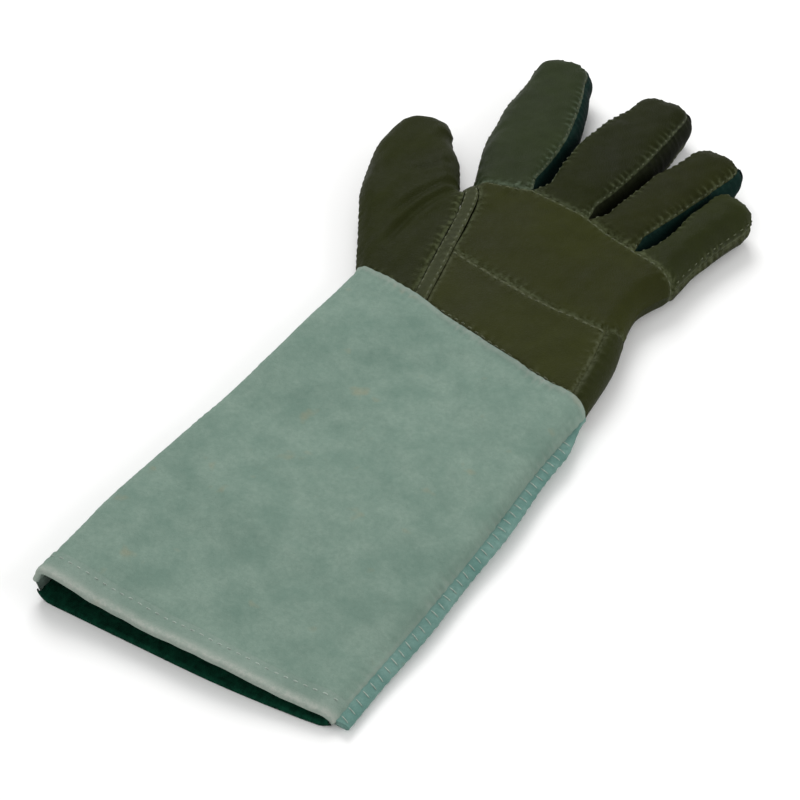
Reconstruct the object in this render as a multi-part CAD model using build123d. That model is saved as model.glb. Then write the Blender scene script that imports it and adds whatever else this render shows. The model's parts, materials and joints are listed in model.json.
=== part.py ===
from build123d import *
import os
from math import sin, cos, tan, radians

# Left-hand beekeeping gauntlet glove, lying on the back of its hand, palm up.
# Millimetres.  +Y runs from the cuff to the fingers, -X is the thumb side, +Z is up.
# The origin is on the flat resting face under the middle of the palm.

# ---- leather and gaps ---------------------------------------------------------------
LEATHER = 1.8             # wall of the hand and the digits
SUEDE = 1.6               # wall of the gauntlet
LINING = 0.8              # cloth inside the gauntlet
HINGE_GAP = 0.4           # each side of a fold line
SIDE_GAP = 0.7            # room beside a finger where it leaves the hand

# ---- hand ---------------------------------------------------------------------------
HAND_THICKNESS = 24.0     # height of the hand and the digits
HAND_EDGE = 9.0           # rounding of the hand's long edges
SEAM_HEIGHT = HAND_THICKNESS / 2
WRIST_Y = -50.0           # wrist seam on the centre line
WRIST_CENTRE_X = -2.5     # middle of the wrist opening
WRIST_WIDTH = 148.0
WRIST_SLANT = 10.0        # degrees, the thumb side is nearer the fingers
THUMB_SIDE_LEAN = 32.0    # degrees the hand's thumb edge leans outward
WAIST = (57.0, 9.0)       # narrowest point of the little-finger edge
HEEL = (67.0, -28.0)      # heel of the hand on the same edge

# ---- fingers, in order from the thumb ---------------------------------------------------
# heading is in degrees from +Y towards +X, set_back is how far a knuckle lies
# behind its neighbour's, and middle is the place of the middle fold
KNUCKLE_CORNER = (-65.0, 53.0)      # thumb-side end of the index knuckle
GUSSET_HEIGHT = 11.0                # height of the strip sewn between two finger faces
FINGER_EDGE = 9.5                   # rounding of a digit's long edges
TIP_ROUNDING = 0.47                 # tip corner radius as a share of the tip's width
KNUCKLE_BACK_BEND = 15.0            # degrees a knuckle can bend away from the palm
FINGERS = {
    "index": dict(heading=-12.5, set_back=0.0, length=119.0, middle=53.0,
                  base_width=36.0, tip_width=35.0),
    "middle": dict(heading=2.5, set_back=3.0, length=116.0, middle=53.0,
                   base_width=35.5, tip_width=35.5),
    "ring": dict(heading=10.0, set_back=3.7, length=98.0, middle=47.0,
                 base_width=32.5, tip_width=32.0),
    "little": dict(heading=9.5, set_back=5.0, length=78.0, middle=38.0,
                   base_width=28.0, tip_width=25.5),
}

# ---- thumb --------------------------------------------------------------------------
THUMB_CROTCH = (-2.0, -9.0)         # from the index knuckle's thumb-side end
THUMB_HEADING = -25.0
THUMB_LENGTH = 62.0
THUMB_BASE_WIDTH = 51.0
THUMB_TIP_WIDTH = 30.0
THUMB_MIDDLE = 26.0                 # fold line of the tip, from the root
THUMB_FOLD_TURN = 22.0              # degrees the base fold turns towards the wrist
THUMB_FOLD_BACK = 10.0              # the same fold's middle lies this far behind the root
THUMB_BACK_BEND = 10.0
THUMB_PALM_FLARE = 1.5              # how wide the thumb tube gets behind its root, palm side
THUMB_OUTER_FLARE = 0.85            # and on its outer side

# ---- seams on the palm side -----------------------------------------------------------
WELT_WIDTH = 8.0          # doubled strip sewn along the thumb
THUMB_SEAM_TOP = (KNUCKLE_CORNER[0] + 4.0, KNUCKLE_CORNER[1] - 4.0)
THUMB_SEAM_BOTTOM = (-36.0, -48.0)
BAND_LEFT_Y = -6.0        # upper edge of the wrist band panel
BAND_SLANT = 6.0          # degrees
SIDE_STRIP_WIDTH = 9.0

# ---- gauntlet -------------------------------------------------------------------------
CUFF_THICKNESS = 19.0
CUFF_LENGTH = 236.0       # wrist seam to mouth on the centre line
MOUTH_WIDTH = 154.0
MOUTH_SLANT = -4.5        # degrees, the thumb side is longer
CUFF_EDGE = 7.5
HEM_WIDTH = 12.0
HEM_THICKNESS = 3.0
WRIST_BACK_BEND = 45.0
BINDING_WIDTH = 6.5       # seam allowance bound along the little-finger side
BINDING_THICKNESS = 3.2
BINDING_HEIGHT = 6.0      # its underside above the table

# ---- stitching ------------------------------------------------------------------------
STITCH_LENGTH = 3.4
STITCH_PITCH = 5.0
STITCH_WIDTH = 0.9
STITCH_HEIGHT = 0.5
STITCH_INSET = 2.6        # from a seam to its row of stitches
THUMB_ROW_START = 0.10    # where the thumb seam's rows start and end, as shares of the seam
THUMB_ROW_END = 0.87

REACH = 400.0             # longer than the whole glove, for cutting blocks
OVERRUN = 45.0            # how far a tube is built past the fold that trims it


def block(x0, x1, y0, y1, z0, z1):
    """A box between two corners."""
    centre = Pos((x0 + x1) / 2, (y0 + y1) / 2, (z0 + z1) / 2)
    return centre * Box(x1 - x0, y1 - y0, z1 - z0)


def heading_frame(point, heading):
    """Local x runs forward along the heading, local y to the thumb side."""
    forward = (sin(radians(heading)), cos(radians(heading)), 0)
    return Plane(origin=(point[0], point[1], 0), x_dir=forward, z_dir=(0, 0, 1))


def local_point(frame, along, across):
    """Plan position of a point given in a heading frame."""
    point = frame.from_local_coords((along, across, 0))
    return (point.X, point.Y)


def place_fingers():
    """Adds root, frame and neighbours to each finger, side by side from the thumb."""
    corner = KNUCKLE_CORNER
    names = list(FINGERS)
    for order, name in enumerate(names):
        spec = FINGERS[name]
        gap = 2 * SIDE_GAP if order else 0.0
        frame = heading_frame(corner, spec["heading"])
        spec["root"] = local_point(frame, -spec["set_back"], -gap - spec["base_width"] / 2)
        spec["frame"] = heading_frame(spec["root"], spec["heading"])
        spec["thumb_side"] = names[order - 1] if order else None
        spec["little_side"] = names[order + 1] if order + 1 < len(names) else None
        corner = local_point(spec["frame"], 0, -spec["base_width"] / 2)


def thumb_frame():
    """Frame of the thumb, at the middle of its base."""
    crotch = (KNUCKLE_CORNER[0] + THUMB_CROTCH[0], KNUCKLE_CORNER[1] + THUMB_CROTCH[1])
    root = local_point(heading_frame(crotch, THUMB_HEADING), 0, THUMB_BASE_WIDTH / 2)
    return heading_frame(root, THUMB_HEADING)


def outline(points):
    """A flat face through the given corners."""
    return make_face(Polyline(*points, close=True))


def rounded_slab(face, bottom, top, edge_radius):
    """A plate of the face's shape with its upper and lower edges rounded."""
    slab = extrude(Pos(0, 0, bottom) * face, amount=top - bottom)
    rims = slab.faces().filter_by(Axis.Z).edges()
    return fillet(rims, edge_radius)


def ahead_of(distance, back_bend, top, gap=HINGE_GAP):
    """Space in front of a fold line whose axis lies on the palm-side surface.

    The end face leans forward towards the table, so that the part can also
    bend away from the palm by back_bend degrees before the backs meet.
    """
    relief = top * tan(radians(back_bend / 2))
    rise = relief / top
    profile = outline([
        (distance + gap - rise, top + 1),
        (distance + REACH, top + 1),
        (distance + REACH, -1),
        (distance + gap + relief + rise, -1),
    ])
    return extrude(Plane.XZ * profile, amount=REACH / 2, both=True)


def behind(distance, back_bend, top, gap=HINGE_GAP):
    """Space behind the same fold line."""
    mirrored = ahead_of(0, back_bend, top, gap).mirror(Plane.YZ)
    return Pos(distance, 0, 0) * mirrored


def digit_face(corners, length, tip_radius):
    """Plan of a finger or thumb with its two tip corners rounded."""
    face = outline(corners)
    tips = [v for v in face.vertices() if v.X > length - 0.5]
    return fillet(tips, tip_radius)


def finger_corners(length, base_width, tip_width, inset=0.0):
    """Plan corners of a finger tube, in the finger's own frame."""
    flare = (base_width - tip_width) / 2 / length
    base = base_width / 2 + flare * OVERRUN - inset
    tip = tip_width / 2 - inset
    end = length - inset
    return [(-OVERRUN, -base), (end, -tip), (end, tip), (-OVERRUN, base)]


def thumb_corners(inset=0.0):
    """Plan corners of the thumb tube: wide at the palm, knee on the outer edge."""
    base = THUMB_BASE_WIDTH / 2 - inset
    tip = THUMB_TIP_WIDTH / 2 - inset
    end = THUMB_LENGTH - inset
    return [(-OVERRUN, -base * THUMB_PALM_FLARE), (0, -base), (end, -tip),
            (end, tip), (0, base), (-OVERRUN, base * THUMB_OUTER_FLARE)]


def digit_shell(corner_maker, length, tip_width):
    """Hollow digit: outer form less the room inside."""
    tip_radius = tip_width * TIP_ROUNDING
    outer_face = digit_face(corner_maker(0), length, tip_radius)
    inner_face = digit_face(corner_maker(LEATHER), length - LEATHER, tip_radius - LEATHER)
    outer = rounded_slab(outer_face, 0, HAND_THICKNESS, FINGER_EDGE)
    inner = rounded_slab(inner_face, LEATHER, HAND_THICKNESS - LEATHER, FINGER_EDGE - LEATHER)
    return outer - inner


def side_zone(left, low, high):
    """Half of a digit's width, between two heights."""
    if left:
        return block(-REACH, REACH, 0, REACH, low, high)
    return block(-REACH, REACH, -REACH, 0, low, high)


def face_zone(front, left_gusset, right_gusset):
    """Space of a digit's front or back face, which stops at its gussets."""
    zone = None
    for left, has_gusset in ((True, left_gusset), (False, right_gusset)):
        shift = GUSSET_HEIGHT / 2 if has_gusset else 0
        if front:
            half = side_zone(left, SEAM_HEIGHT + shift, HAND_THICKNESS + 1)
        else:
            half = side_zone(left, -1, SEAM_HEIGHT - shift)
        zone = half if zone is None else zone + half
    return zone


def gusset_zone(left):
    """Space of the strip between the front and back faces."""
    return side_zone(left, SEAM_HEIGHT - GUSSET_HEIGHT / 2, SEAM_HEIGHT + GUSSET_HEIGHT / 2)


def finger_segments(spec):
    """The finger's base and tip lengths, split at its middle fold."""
    fold = spec["middle"]
    base = ahead_of(0, KNUCKLE_BACK_BEND, HAND_THICKNESS) & behind(fold, 0, HAND_THICKNESS)
    tip = ahead_of(fold, 0, HAND_THICKNESS)
    return {"base": base, "tip": tip}


def finger_nodes(name, spec):
    """Front, back and gusset pieces of one finger, in both segments."""
    def corners(inset):
        return finger_corners(spec["length"], spec["base_width"], spec["tip_width"], inset)

    shell = digit_shell(corners, spec["length"], spec["tip_width"])
    left, right = spec["thumb_side"], spec["little_side"]
    nodes = {}
    for segment, region in finger_segments(spec).items():
        part = shell & region
        nodes[f"{name}_front_{segment}"] = part & face_zone(True, left, right)
        nodes[f"{name}_back_{segment}"] = part & face_zone(False, left, right)
        if left:
            nodes[f"{name}_fourchette_{left}_side_{segment}"] = part & gusset_zone(True)
        if right:
            nodes[f"{name}_fourchette_{right}_side_{segment}"] = part & gusset_zone(False)
    return {node: spec["frame"] * solid for node, solid in nodes.items()}


def thumb_fold_frame():
    """Frame of the thumb's base fold, across the ball of the thumb."""
    middle = local_point(thumb_frame(), -THUMB_FOLD_BACK, 0)
    return heading_frame(middle, THUMB_HEADING - THUMB_FOLD_TURN)


def thumb_nodes():
    """Front and back of the thumb, split at its base and tip folds."""
    place = thumb_frame()
    shell = place * digit_shell(thumb_corners, THUMB_LENGTH, THUMB_TIP_WIDTH)
    base = thumb_fold_frame() * ahead_of(0, THUMB_BACK_BEND, HAND_THICKNESS)
    before_tip = place * behind(THUMB_MIDDLE, 0, HAND_THICKNESS)
    after_tip = place * ahead_of(THUMB_MIDDLE, 0, HAND_THICKNESS)
    front = block(-REACH, REACH, -REACH, REACH, SEAM_HEIGHT, HAND_THICKNESS + 1)
    back = block(-REACH, REACH, -REACH, REACH, -1, SEAM_HEIGHT)
    return {
        "thumb_front_base": shell & base & before_tip & front,
        "thumb_back_base": shell & base & before_tip & back,
        "thumb_front_tip": shell & after_tip & front,
        "thumb_back_tip": shell & after_tip & back,
    }


def wrist_frame():
    """Frame of the wrist fold, looking from the wrist towards the fingers."""
    return heading_frame((WRIST_CENTRE_X, WRIST_Y), WRIST_SLANT)


def wrist_point(side):
    """End of the wrist seam, -1 on the thumb side and 1 on the other."""
    half = side * WRIST_WIDTH / 2
    return (WRIST_CENTRE_X + half, WRIST_Y - half * tan(radians(WRIST_SLANT)))


def hand_corners(inset=0.0):
    """Plan corners of the hand, built past the wrist and the knuckles."""
    left_x, left_y = wrist_point(-1)
    right_x, right_y = wrist_point(1)
    lean = tan(radians(THUMB_SIDE_LEAN))
    top = FINGERS["middle"]["root"][1] + OVERRUN
    little = FINGERS["little"]
    corner_x, corner_y = local_point(little["frame"], 0, -little["base_width"] / 2)
    spread = (corner_x - WAIST[0]) / (corner_y - WAIST[1])
    return [
        (left_x + inset, left_y - OVERRUN),
        (left_x + inset, left_y),
        (left_x - (top - left_y) * lean + inset, top),
        (corner_x + (top - corner_y) * spread - inset, top),
        (WAIST[0] - inset, WAIST[1]),
        (HEEL[0] - inset, HEEL[1]),
        (right_x - inset, right_y),
        (right_x - inset, right_y - OVERRUN),
    ]


def knuckle_corners(spec):
    """Both ends of a finger's knuckle fold, thumb side first."""
    half = spec["base_width"] / 2 + SIDE_GAP
    return [local_point(spec["frame"], -HINGE_GAP, half),
            local_point(spec["frame"], -HINGE_GAP, -half)]


def palm_zone():
    """Space behind the row of knuckles."""
    front = []
    for spec in FINGERS.values():
        front += knuckle_corners(spec)
    left = (-REACH, front[0][1])
    right = (REACH, front[-1][1])
    face = outline([left] + front + [right, (REACH, -REACH), (-REACH, -REACH)])
    return extrude(Pos(0, 0, -1) * face, amount=HAND_THICKNESS + 2)


def knuckle_relief(spec):
    """Wedge taken off the hand's back, which lets a finger bend backwards."""
    relief = HAND_THICKNESS * tan(radians(KNUCKLE_BACK_BEND / 2))
    wedge = outline([
        (-HINGE_GAP, HAND_THICKNESS),
        (-HINGE_GAP - relief, 0),
        (-HINGE_GAP - relief, -1),
        (OVERRUN, -1),
        (OVERRUN, HAND_THICKNESS),
    ])
    half = spec["base_width"] / 2 + SIDE_GAP
    return extrude(Plane.XZ * wedge, amount=half, both=True)


def hand_shell():
    """Hollow hand, open at the wrist, the knuckles and the thumb."""
    outer = rounded_slab(outline(hand_corners()), 0, HAND_THICKNESS, HAND_EDGE)
    inner = rounded_slab(outline(hand_corners(LEATHER)), LEATHER, HAND_THICKNESS - LEATHER,
                         HAND_EDGE - LEATHER)
    shell = (outer - inner) & palm_zone()
    shell = shell & (wrist_frame() * ahead_of(0, WRIST_BACK_BEND, HAND_THICKNESS))
    shell = shell & (thumb_fold_frame() * behind(0, THUMB_BACK_BEND, HAND_THICKNESS))
    for spec in FINGERS.values():
        shell = shell - spec["frame"] * knuckle_relief(spec)
    return shell


def palm_side(points):
    """Upper half of the hand inside a plan outline."""
    return extrude(Pos(0, 0, SEAM_HEIGHT) * outline(points), amount=HAND_THICKNESS)


def seam_offset(point, distance):
    """A point moved away from the thumb seam, towards the little finger."""
    run_x = THUMB_SEAM_BOTTOM[0] - THUMB_SEAM_TOP[0]
    run_y = THUMB_SEAM_BOTTOM[1] - THUMB_SEAM_TOP[1]
    run = (run_x ** 2 + run_y ** 2) ** 0.5
    return (point[0] - run_y / run * distance, point[1] + run_x / run * distance)


def along_seam(distance, t):
    """Point at fraction t of the thumb seam, moved sideways by a distance."""
    x = THUMB_SEAM_TOP[0] + (THUMB_SEAM_BOTTOM[0] - THUMB_SEAM_TOP[0]) * t
    y = THUMB_SEAM_TOP[1] + (THUMB_SEAM_BOTTOM[1] - THUMB_SEAM_TOP[1]) * t
    return seam_offset((x, y), distance)


def band_line(x):
    """Upper edge of the wrist band panel at a given x."""
    start = THUMB_SEAM_TOP[0]
    return BAND_LEFT_Y - (x - start) * tan(radians(BAND_SLANT))


def hand_nodes():
    """Panels of the hand: thumb ball, welt, palm, wrist band, side strip and back."""
    shell = hand_shell()
    before, after = -1.0, 2.0       # shares of the seam, well past both of its ends
    wing = palm_side([(-REACH, REACH / 2), along_seam(0, before), along_seam(0, after),
                      (-REACH, -REACH / 2)])
    welt = palm_side([along_seam(0, before), along_seam(WELT_WIDTH, before),
                      along_seam(WELT_WIDTH, after), along_seam(0, after)])
    rest = palm_side([along_seam(WELT_WIDTH, before), (REACH, REACH / 2),
                      (REACH, -REACH / 2), along_seam(WELT_WIDTH, after)])
    above = palm_side([(-REACH, band_line(-REACH)), (REACH, band_line(REACH)),
                       (REACH, REACH), (-REACH, REACH)])
    right_x, right_y = wrist_point(1)
    strip = palm_side([(WAIST[0] - SIDE_STRIP_WIDTH, WAIST[1]), (REACH, WAIST[1]),
                       (REACH, -REACH), (right_x, right_y - REACH / 4),
                       (right_x - SIDE_STRIP_WIDTH, right_y),
                       (HEEL[0] - SIDE_STRIP_WIDTH, HEEL[1])])
    lower = shell & rest - above
    return {
        "thumb_ball_panel": shell & wing,
        "thumb_welt": shell & welt,
        "palm_panel": shell & rest & above,
        "wrist_band_panel": lower - strip,
        "side_strip": lower & strip,
        "hand_back": shell & block(-REACH, REACH, -REACH, REACH, -1, SEAM_HEIGHT),
    }


def mouth_frame():
    """Frame of the gauntlet's mouth, looking towards the wrist."""
    return heading_frame((WRIST_CENTRE_X, WRIST_Y - CUFF_LENGTH), MOUTH_SLANT)


def cuff_half_width(y):
    """Half the gauntlet's width at a distance along the glove."""
    share = (WRIST_Y - y) / CUFF_LENGTH
    return (WRIST_WIDTH + (MOUTH_WIDTH - WRIST_WIDTH) * share) / 2


def cuff_body(inset):
    """The gauntlet's outer form, or its room, built past both ends."""
    top_y = WRIST_Y + OVERRUN
    low_y = WRIST_Y - CUFF_LENGTH - OVERRUN
    wrist = cuff_half_width(top_y) - inset
    mouth = cuff_half_width(low_y) - inset
    face = outline([(-wrist, top_y), (wrist, top_y), (mouth, low_y), (-mouth, low_y)])
    slab = rounded_slab(face, inset, CUFF_THICKNESS - inset, CUFF_EDGE - inset)
    return Pos(WRIST_CENTRE_X, 0, 0) * slab


def binding_strip():
    """Bound seam allowance standing out along the little-finger side."""
    start_y = WRIST_Y
    end_y = WRIST_Y - CUFF_LENGTH - OVERRUN
    start = WRIST_CENTRE_X + cuff_half_width(start_y)
    end = WRIST_CENTRE_X + cuff_half_width(end_y)
    face = outline([
        (start - CUFF_EDGE, start_y),
        (start + BINDING_WIDTH, start_y),
        (end + BINDING_WIDTH, end_y),
        (end - CUFF_EDGE, end_y),
    ])
    return extrude(Pos(0, 0, BINDING_HEIGHT) * face, amount=BINDING_THICKNESS)


def cuff_nodes():
    """Panels, hems, lining and bound side seam of the gauntlet."""
    wrist_side = wrist_frame() * behind(0, WRIST_BACK_BEND, HAND_THICKNESS)
    mouth_side = mouth_frame() * block(0, REACH, -REACH, REACH, -1, HAND_THICKNESS)
    past_hem = mouth_frame() * block(HEM_WIDTH, REACH, -REACH, REACH, -1, HAND_THICKNESS)
    length = wrist_side & mouth_side
    seam = CUFF_THICKNESS / 2
    top = block(-REACH, REACH, -REACH, REACH, seam, HAND_THICKNESS)
    bottom = block(-REACH, REACH, -REACH, REACH, -1, seam)
    outer = cuff_body(0)
    wall = (outer - cuff_body(SUEDE)) & length & past_hem
    cloth = (cuff_body(SUEDE) - cuff_body(SUEDE + LINING)) & length & past_hem
    hem = (outer - cuff_body(HEM_THICKNESS)) & length - past_hem
    return {
        "cuff_top_panel": wall & top,
        "cuff_bottom_panel": wall & bottom,
        "cuff_lining_top": cloth & top,
        "cuff_lining_bottom": cloth & bottom,
        "mouth_hem_top": hem & top,
        "mouth_hem_bottom": hem & bottom,
        "side_binding": (binding_strip() - outer) & length,
    }


def stitch_row(start, end, height):
    """Stitches lying on a level surface between two points."""
    run_x, run_y = end[0] - start[0], end[1] - start[1]
    run = (run_x ** 2 + run_y ** 2) ** 0.5
    count = int(run / STITCH_PITCH)
    turn = Vector(run_x, run_y, 0).get_signed_angle(Vector(1, 0, 0), Vector(0, 0, -1))
    stitches = []
    for index in range(count):
        t = (index + 0.5) / count
        spot = Pos(start[0] + run_x * t, start[1] + run_y * t, height + STITCH_HEIGHT / 2)
        stitches.append(spot * Rot(0, 0, turn) * Box(STITCH_LENGTH, STITCH_WIDTH, STITCH_HEIGHT))
    return stitches


def thread_nodes():
    """Visible rows of stitching on the palm side."""
    top = HAND_THICKNESS
    thumb_rows = []
    for offset in (-STITCH_INSET, WELT_WIDTH + STITCH_INSET):
        thumb_rows += stitch_row(along_seam(offset, THUMB_ROW_START),
                                 along_seam(offset, THUMB_ROW_END), top)
    wrist_reach = WRIST_WIDTH / 2 - HAND_EDGE - STITCH_PITCH
    wrist_row = stitch_row(local_point(wrist_frame(), STITCH_INSET, wrist_reach),
                           local_point(wrist_frame(), STITCH_INSET, -wrist_reach), top)
    knuckle_rows = []
    for spec in FINGERS.values():
        reach = spec["base_width"] / 2 - STITCH_PITCH / 2
        knuckle_rows += stitch_row(local_point(spec["frame"], -STITCH_INSET, reach),
                                   local_point(spec["frame"], -STITCH_INSET, -reach), top)
    mouth_reach = MOUTH_WIDTH / 2 - CUFF_EDGE - STITCH_PITCH / 2
    mouth_row = stitch_row(local_point(mouth_frame(), HEM_WIDTH - STITCH_INSET, mouth_reach),
                           local_point(mouth_frame(), HEM_WIDTH - STITCH_INSET, -mouth_reach),
                           CUFF_THICKNESS)
    middle = WRIST_CENTRE_X + BINDING_WIDTH / 2
    start_y = wrist_point(1)[1] - HAND_THICKNESS
    end_y = WRIST_Y - CUFF_LENGTH + HEM_WIDTH
    side_row = stitch_row((middle + cuff_half_width(start_y), start_y),
                          (middle + cuff_half_width(end_y), end_y),
                          BINDING_HEIGHT + BINDING_THICKNESS)
    return {
        "thumb_seam_stitching": Compound(thumb_rows),
        "wrist_seam_stitching": Compound(wrist_row),
        "finger_seam_stitching": Compound(knuckle_rows),
        "mouth_stitching": Compound(mouth_row),
        "side_stitching": Compound(side_row),
    }


def all_nodes():
    """Every piece of the glove by name."""
    place_fingers()
    nodes = {}
    for name, spec in FINGERS.items():
        nodes.update(finger_nodes(name, spec))
    nodes.update(thumb_nodes())
    nodes.update(hand_nodes())
    nodes.update(cuff_nodes())
    nodes.update(thread_nodes())
    return nodes


os.makedirs("parts", exist_ok=True)
for node, solid in all_nodes().items():
    export_step(solid, f"parts/{node}.step")
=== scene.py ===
import json
import bpy
import numpy as np
from math import cos, pi, radians, sin
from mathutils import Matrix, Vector, kdtree


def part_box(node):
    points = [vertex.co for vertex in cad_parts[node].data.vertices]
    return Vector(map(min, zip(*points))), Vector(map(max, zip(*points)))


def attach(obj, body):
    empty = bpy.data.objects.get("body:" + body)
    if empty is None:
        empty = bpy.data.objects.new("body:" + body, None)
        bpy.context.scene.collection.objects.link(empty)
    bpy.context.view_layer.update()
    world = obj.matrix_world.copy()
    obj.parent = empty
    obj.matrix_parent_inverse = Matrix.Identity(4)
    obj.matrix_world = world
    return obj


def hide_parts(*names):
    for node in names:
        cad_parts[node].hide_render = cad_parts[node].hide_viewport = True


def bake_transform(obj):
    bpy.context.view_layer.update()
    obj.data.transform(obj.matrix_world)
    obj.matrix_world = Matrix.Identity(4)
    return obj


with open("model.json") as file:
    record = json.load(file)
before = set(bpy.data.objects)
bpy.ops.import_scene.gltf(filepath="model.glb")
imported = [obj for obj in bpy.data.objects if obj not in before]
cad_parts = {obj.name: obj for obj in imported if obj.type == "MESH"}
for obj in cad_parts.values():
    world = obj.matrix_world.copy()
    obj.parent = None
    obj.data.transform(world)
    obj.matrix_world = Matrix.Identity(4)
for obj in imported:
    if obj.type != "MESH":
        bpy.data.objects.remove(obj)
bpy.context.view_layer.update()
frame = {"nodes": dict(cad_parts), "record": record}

# Everything below is worked out in millimetres and turned into metres when a mesh is made.
MM = 0.001
UP = np.array([0.0, 0.0, 1.0])
RECORD = frame["record"]
JOINTS = {joint["name"]: joint for joint in RECORD["behaviour"]["joints"]}
FINGERS = ("index", "middle", "ring", "little")

# ---- thickness and rounding ----
ROLL = 11.0               # how far from an outline the surface starts to roll over
CUFF_ROLL = 9.0           # the same for the gauntlet's sides
GUSSET = 11.0             # height of a fourchette
LEATHER = 1.3
FOURCHETTE_LEATHER = LEATHER * 0.8
SUEDE = 1.6
HEM_SUEDE = 0.5
CLOTH = 0.6
WELT_RISE = 0.9           # how far the thumb welt stands up
RIM_ROOM = 2.0            # least height between a fourchette's edge and the top of the glove
THIN_LENGTH = 45.0        # the hand thins over this length towards the wrist seam
THIN_CURVE = 0.8

# ---- lumps, seams and stitches ----
# each layer of lumps is its height and its wavelength
FINGER_LUMPS = ((0.5, 26.0), (0.22, 9.0))
HAND_LUMPS = ((0.7, 42.0), (0.25, 13.0))
THUMB_LUMPS = ((0.8, 34.0), (0.3, 11.0))
CUFF_LUMPS = ((1.5, 95.0), (0.7, 38.0), (0.22, 14.0))
LUMP_FADE = 6.0           # lumps fade out over this height towards the glove's edge
FINGER_BACK_LUMPS = -0.4  # share of the lumps on a side that rests on the table
HAND_BACK_LUMPS = -0.35
CUFF_TOP_LUMPS = 0.9
CUFF_BOTTOM_LUMPS = -0.12
PUCKER_PITCH = 5.2        # from one gather to the next, and from one finger stitch to the next
PLAIN_PITCH = 4.6         # from one stitch to the next in a plain row
# beside a seam, the distance and the width of three things
SEAM_PLUMP = (3.4, 2.6)   # the leather's swell
SEAM_RIBS = (2.5, 2.6)    # the pale ribs between the gathers: wear and painted highlight on their crests
SEAM_LINE = (0.9, 1.1)    # the pale line along the seam: wear and painted highlight
SEAM_BARE = 0.8           # no gathers this close to the thread
PUCKER_WANDER = (1.6, 22.0)     # how unevenly the gathers are spaced, and over what length
PUCKER_VARIES = (0.4, 40.0)     # how much their strength varies, and over what length
CREASE_WIDTH = 2.4
BAR_RINGS = 7             # a stitch is a bar of so many rings of so many points
BAR_SIDES = 8

# ---- where the skin bends ----
KNUCKLE_BEND = (3.0, 25.0)      # ahead of a finger's knuckle
FOLD_BEND = 12.0                # half the length of skin that bends at a middle fold
THUMB_SPLIT = -8.0              # the thumb's skin is split here, from its tip fold

# ---- fingers ----
TIP_LIFT = {"index": 2.0, "middle": 1.0, "ring": 0.0, "little": 0.5}
LENGTHEN = {"index": 0.0, "middle": -1.0, "ring": -1.8, "little": -2.5}
# how far the soft sides stand out beyond the CAD tube: thumb side, then little-finger side
SWELL = {"index": (5.0, 7.0), "middle": (6.4, 3.6), "ring": (3.6, 0.8), "little": (0.6, -2.6)}
# how far a fingertip leans, towards the little finger where positive
LEAN = {"index": -0.8, "middle": -1.0, "ring": 0.4, "little": -2.8}
BLUNT = 2.9               # 2 is a round fingertip, more is blunter
TIP_CAP = 0.98            # length of the round end, as a share of half the tip's width
CROWN = 1.3               # extra height along the middle of a finger's front
TUCK_LENGTH = 2.2         # leather of a finger that runs on under the palm's edge
TUCK_DEPTH = 1.3
FRONT_INSET = 4.8         # a finger's front panel is this much narrower on its fourchette sides
TIP_INSET = 0.25          # share of that inset left at the fingertip
INSET_FADE = 1.4          # more keeps the inset wide for longer
VALLEY = 13.0             # length over which the gap between two fingers opens
WEB = (24.0, 42.0)        # the fourchettes of two neighbours part over this length
WEB_REACH = (0.5, 7.0)    # room left in the web between two fingers, and its longest reach
BULGE = 2.9               # how far a fourchette swells out
BULGE_ROOM = (0.2, 3.0)   # room left between two swellings, and the room for a full one
FINGER_ROW = 1.15         # length of skin between two rows of a finger's grid
THREAD_COLUMN = 5         # grid column that a finger's stitches follow
OUTER_FROM = 0.75         # the index and little fingers have a fourchette on one side only:
OUTER_OVER = 0.9          # it starts here across the finger and opens over this much
INDEX_ROOT_IN = 2.5       # how far the two outer knuckle ends lie inside the CAD tube
LITTLE_ROOT_IN = 1.5
INDEX_ROOT_BACK = 3.0

# ---- gauntlet ----
MOUTH_HEIGHT = (21.5, 14.0, 8.0)     # height at the mouth, from the thumb side
MOUTH_DENT = 2.2          # sag of the mouth's upper lip
DENT_PLACE = (0.33, 0.09)       # its middle and width, as shares of the mouth's width
CUFF_OVERLAP = 1.0        # the gauntlet's edge lies this far above the hand's leather
CUFF_WEAR_AND_HIGHLIGHT = 0.6           # strength of the pale seam tone on the gauntlet, wear and painted highlight along its edges, less than the hand's
HEM = 12.0
HEM_GAP = 0.45            # height of the hem above the panel that it covers
HEM_TURN = 1.55           # radius of the hem where it turns in
LINING_GAP = 0.35
LIP_ROOM = 0.7            # room between the lining and the lip that it rolls over
LIP_AHEAD = 0.4
BINDING_TOP = 9.0         # the binding is never higher than this
BINDING_TAPER = 30.0      # the binding widens over this length from the wrist
BINDING_LAP = 1.5         # how far it laps over the gauntlet
BINDING_HALF = 1.5        # half its thickness
BINDING_DROP = 0.4        # its middle lies this far below the gauntlet's
BINDING_PINCH = (0.12, 0.22)    # how far the stitches pull it: sideways, upwards
BINDING_SWAY = (0.5, 0.3)       # how far its edge wanders: sideways, upwards


# ---- reading the CAD frame ----
def joint_spot(name):
    """Plan position of a joint, in millimetres."""
    return np.array(JOINTS[name]["pos_m"][:2]) / MM


def joint_side(name):
    """Plan direction of a joint's axis."""
    axis = np.array(JOINTS[name]["axis"][:2])
    return axis / np.linalg.norm(axis)


def reach(node, origin, direction):
    """How far a CAD node reaches from a plan point along a plan direction."""
    mesh = frame["nodes"][node].data
    spots = np.array([v.co[:2] for v in mesh.vertices]) / MM
    return float(((spots - origin) @ direction).max())


def quarter_turn(way):
    """The plan direction a quarter turn to the left."""
    return np.array([-way[1], way[0]])


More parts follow.
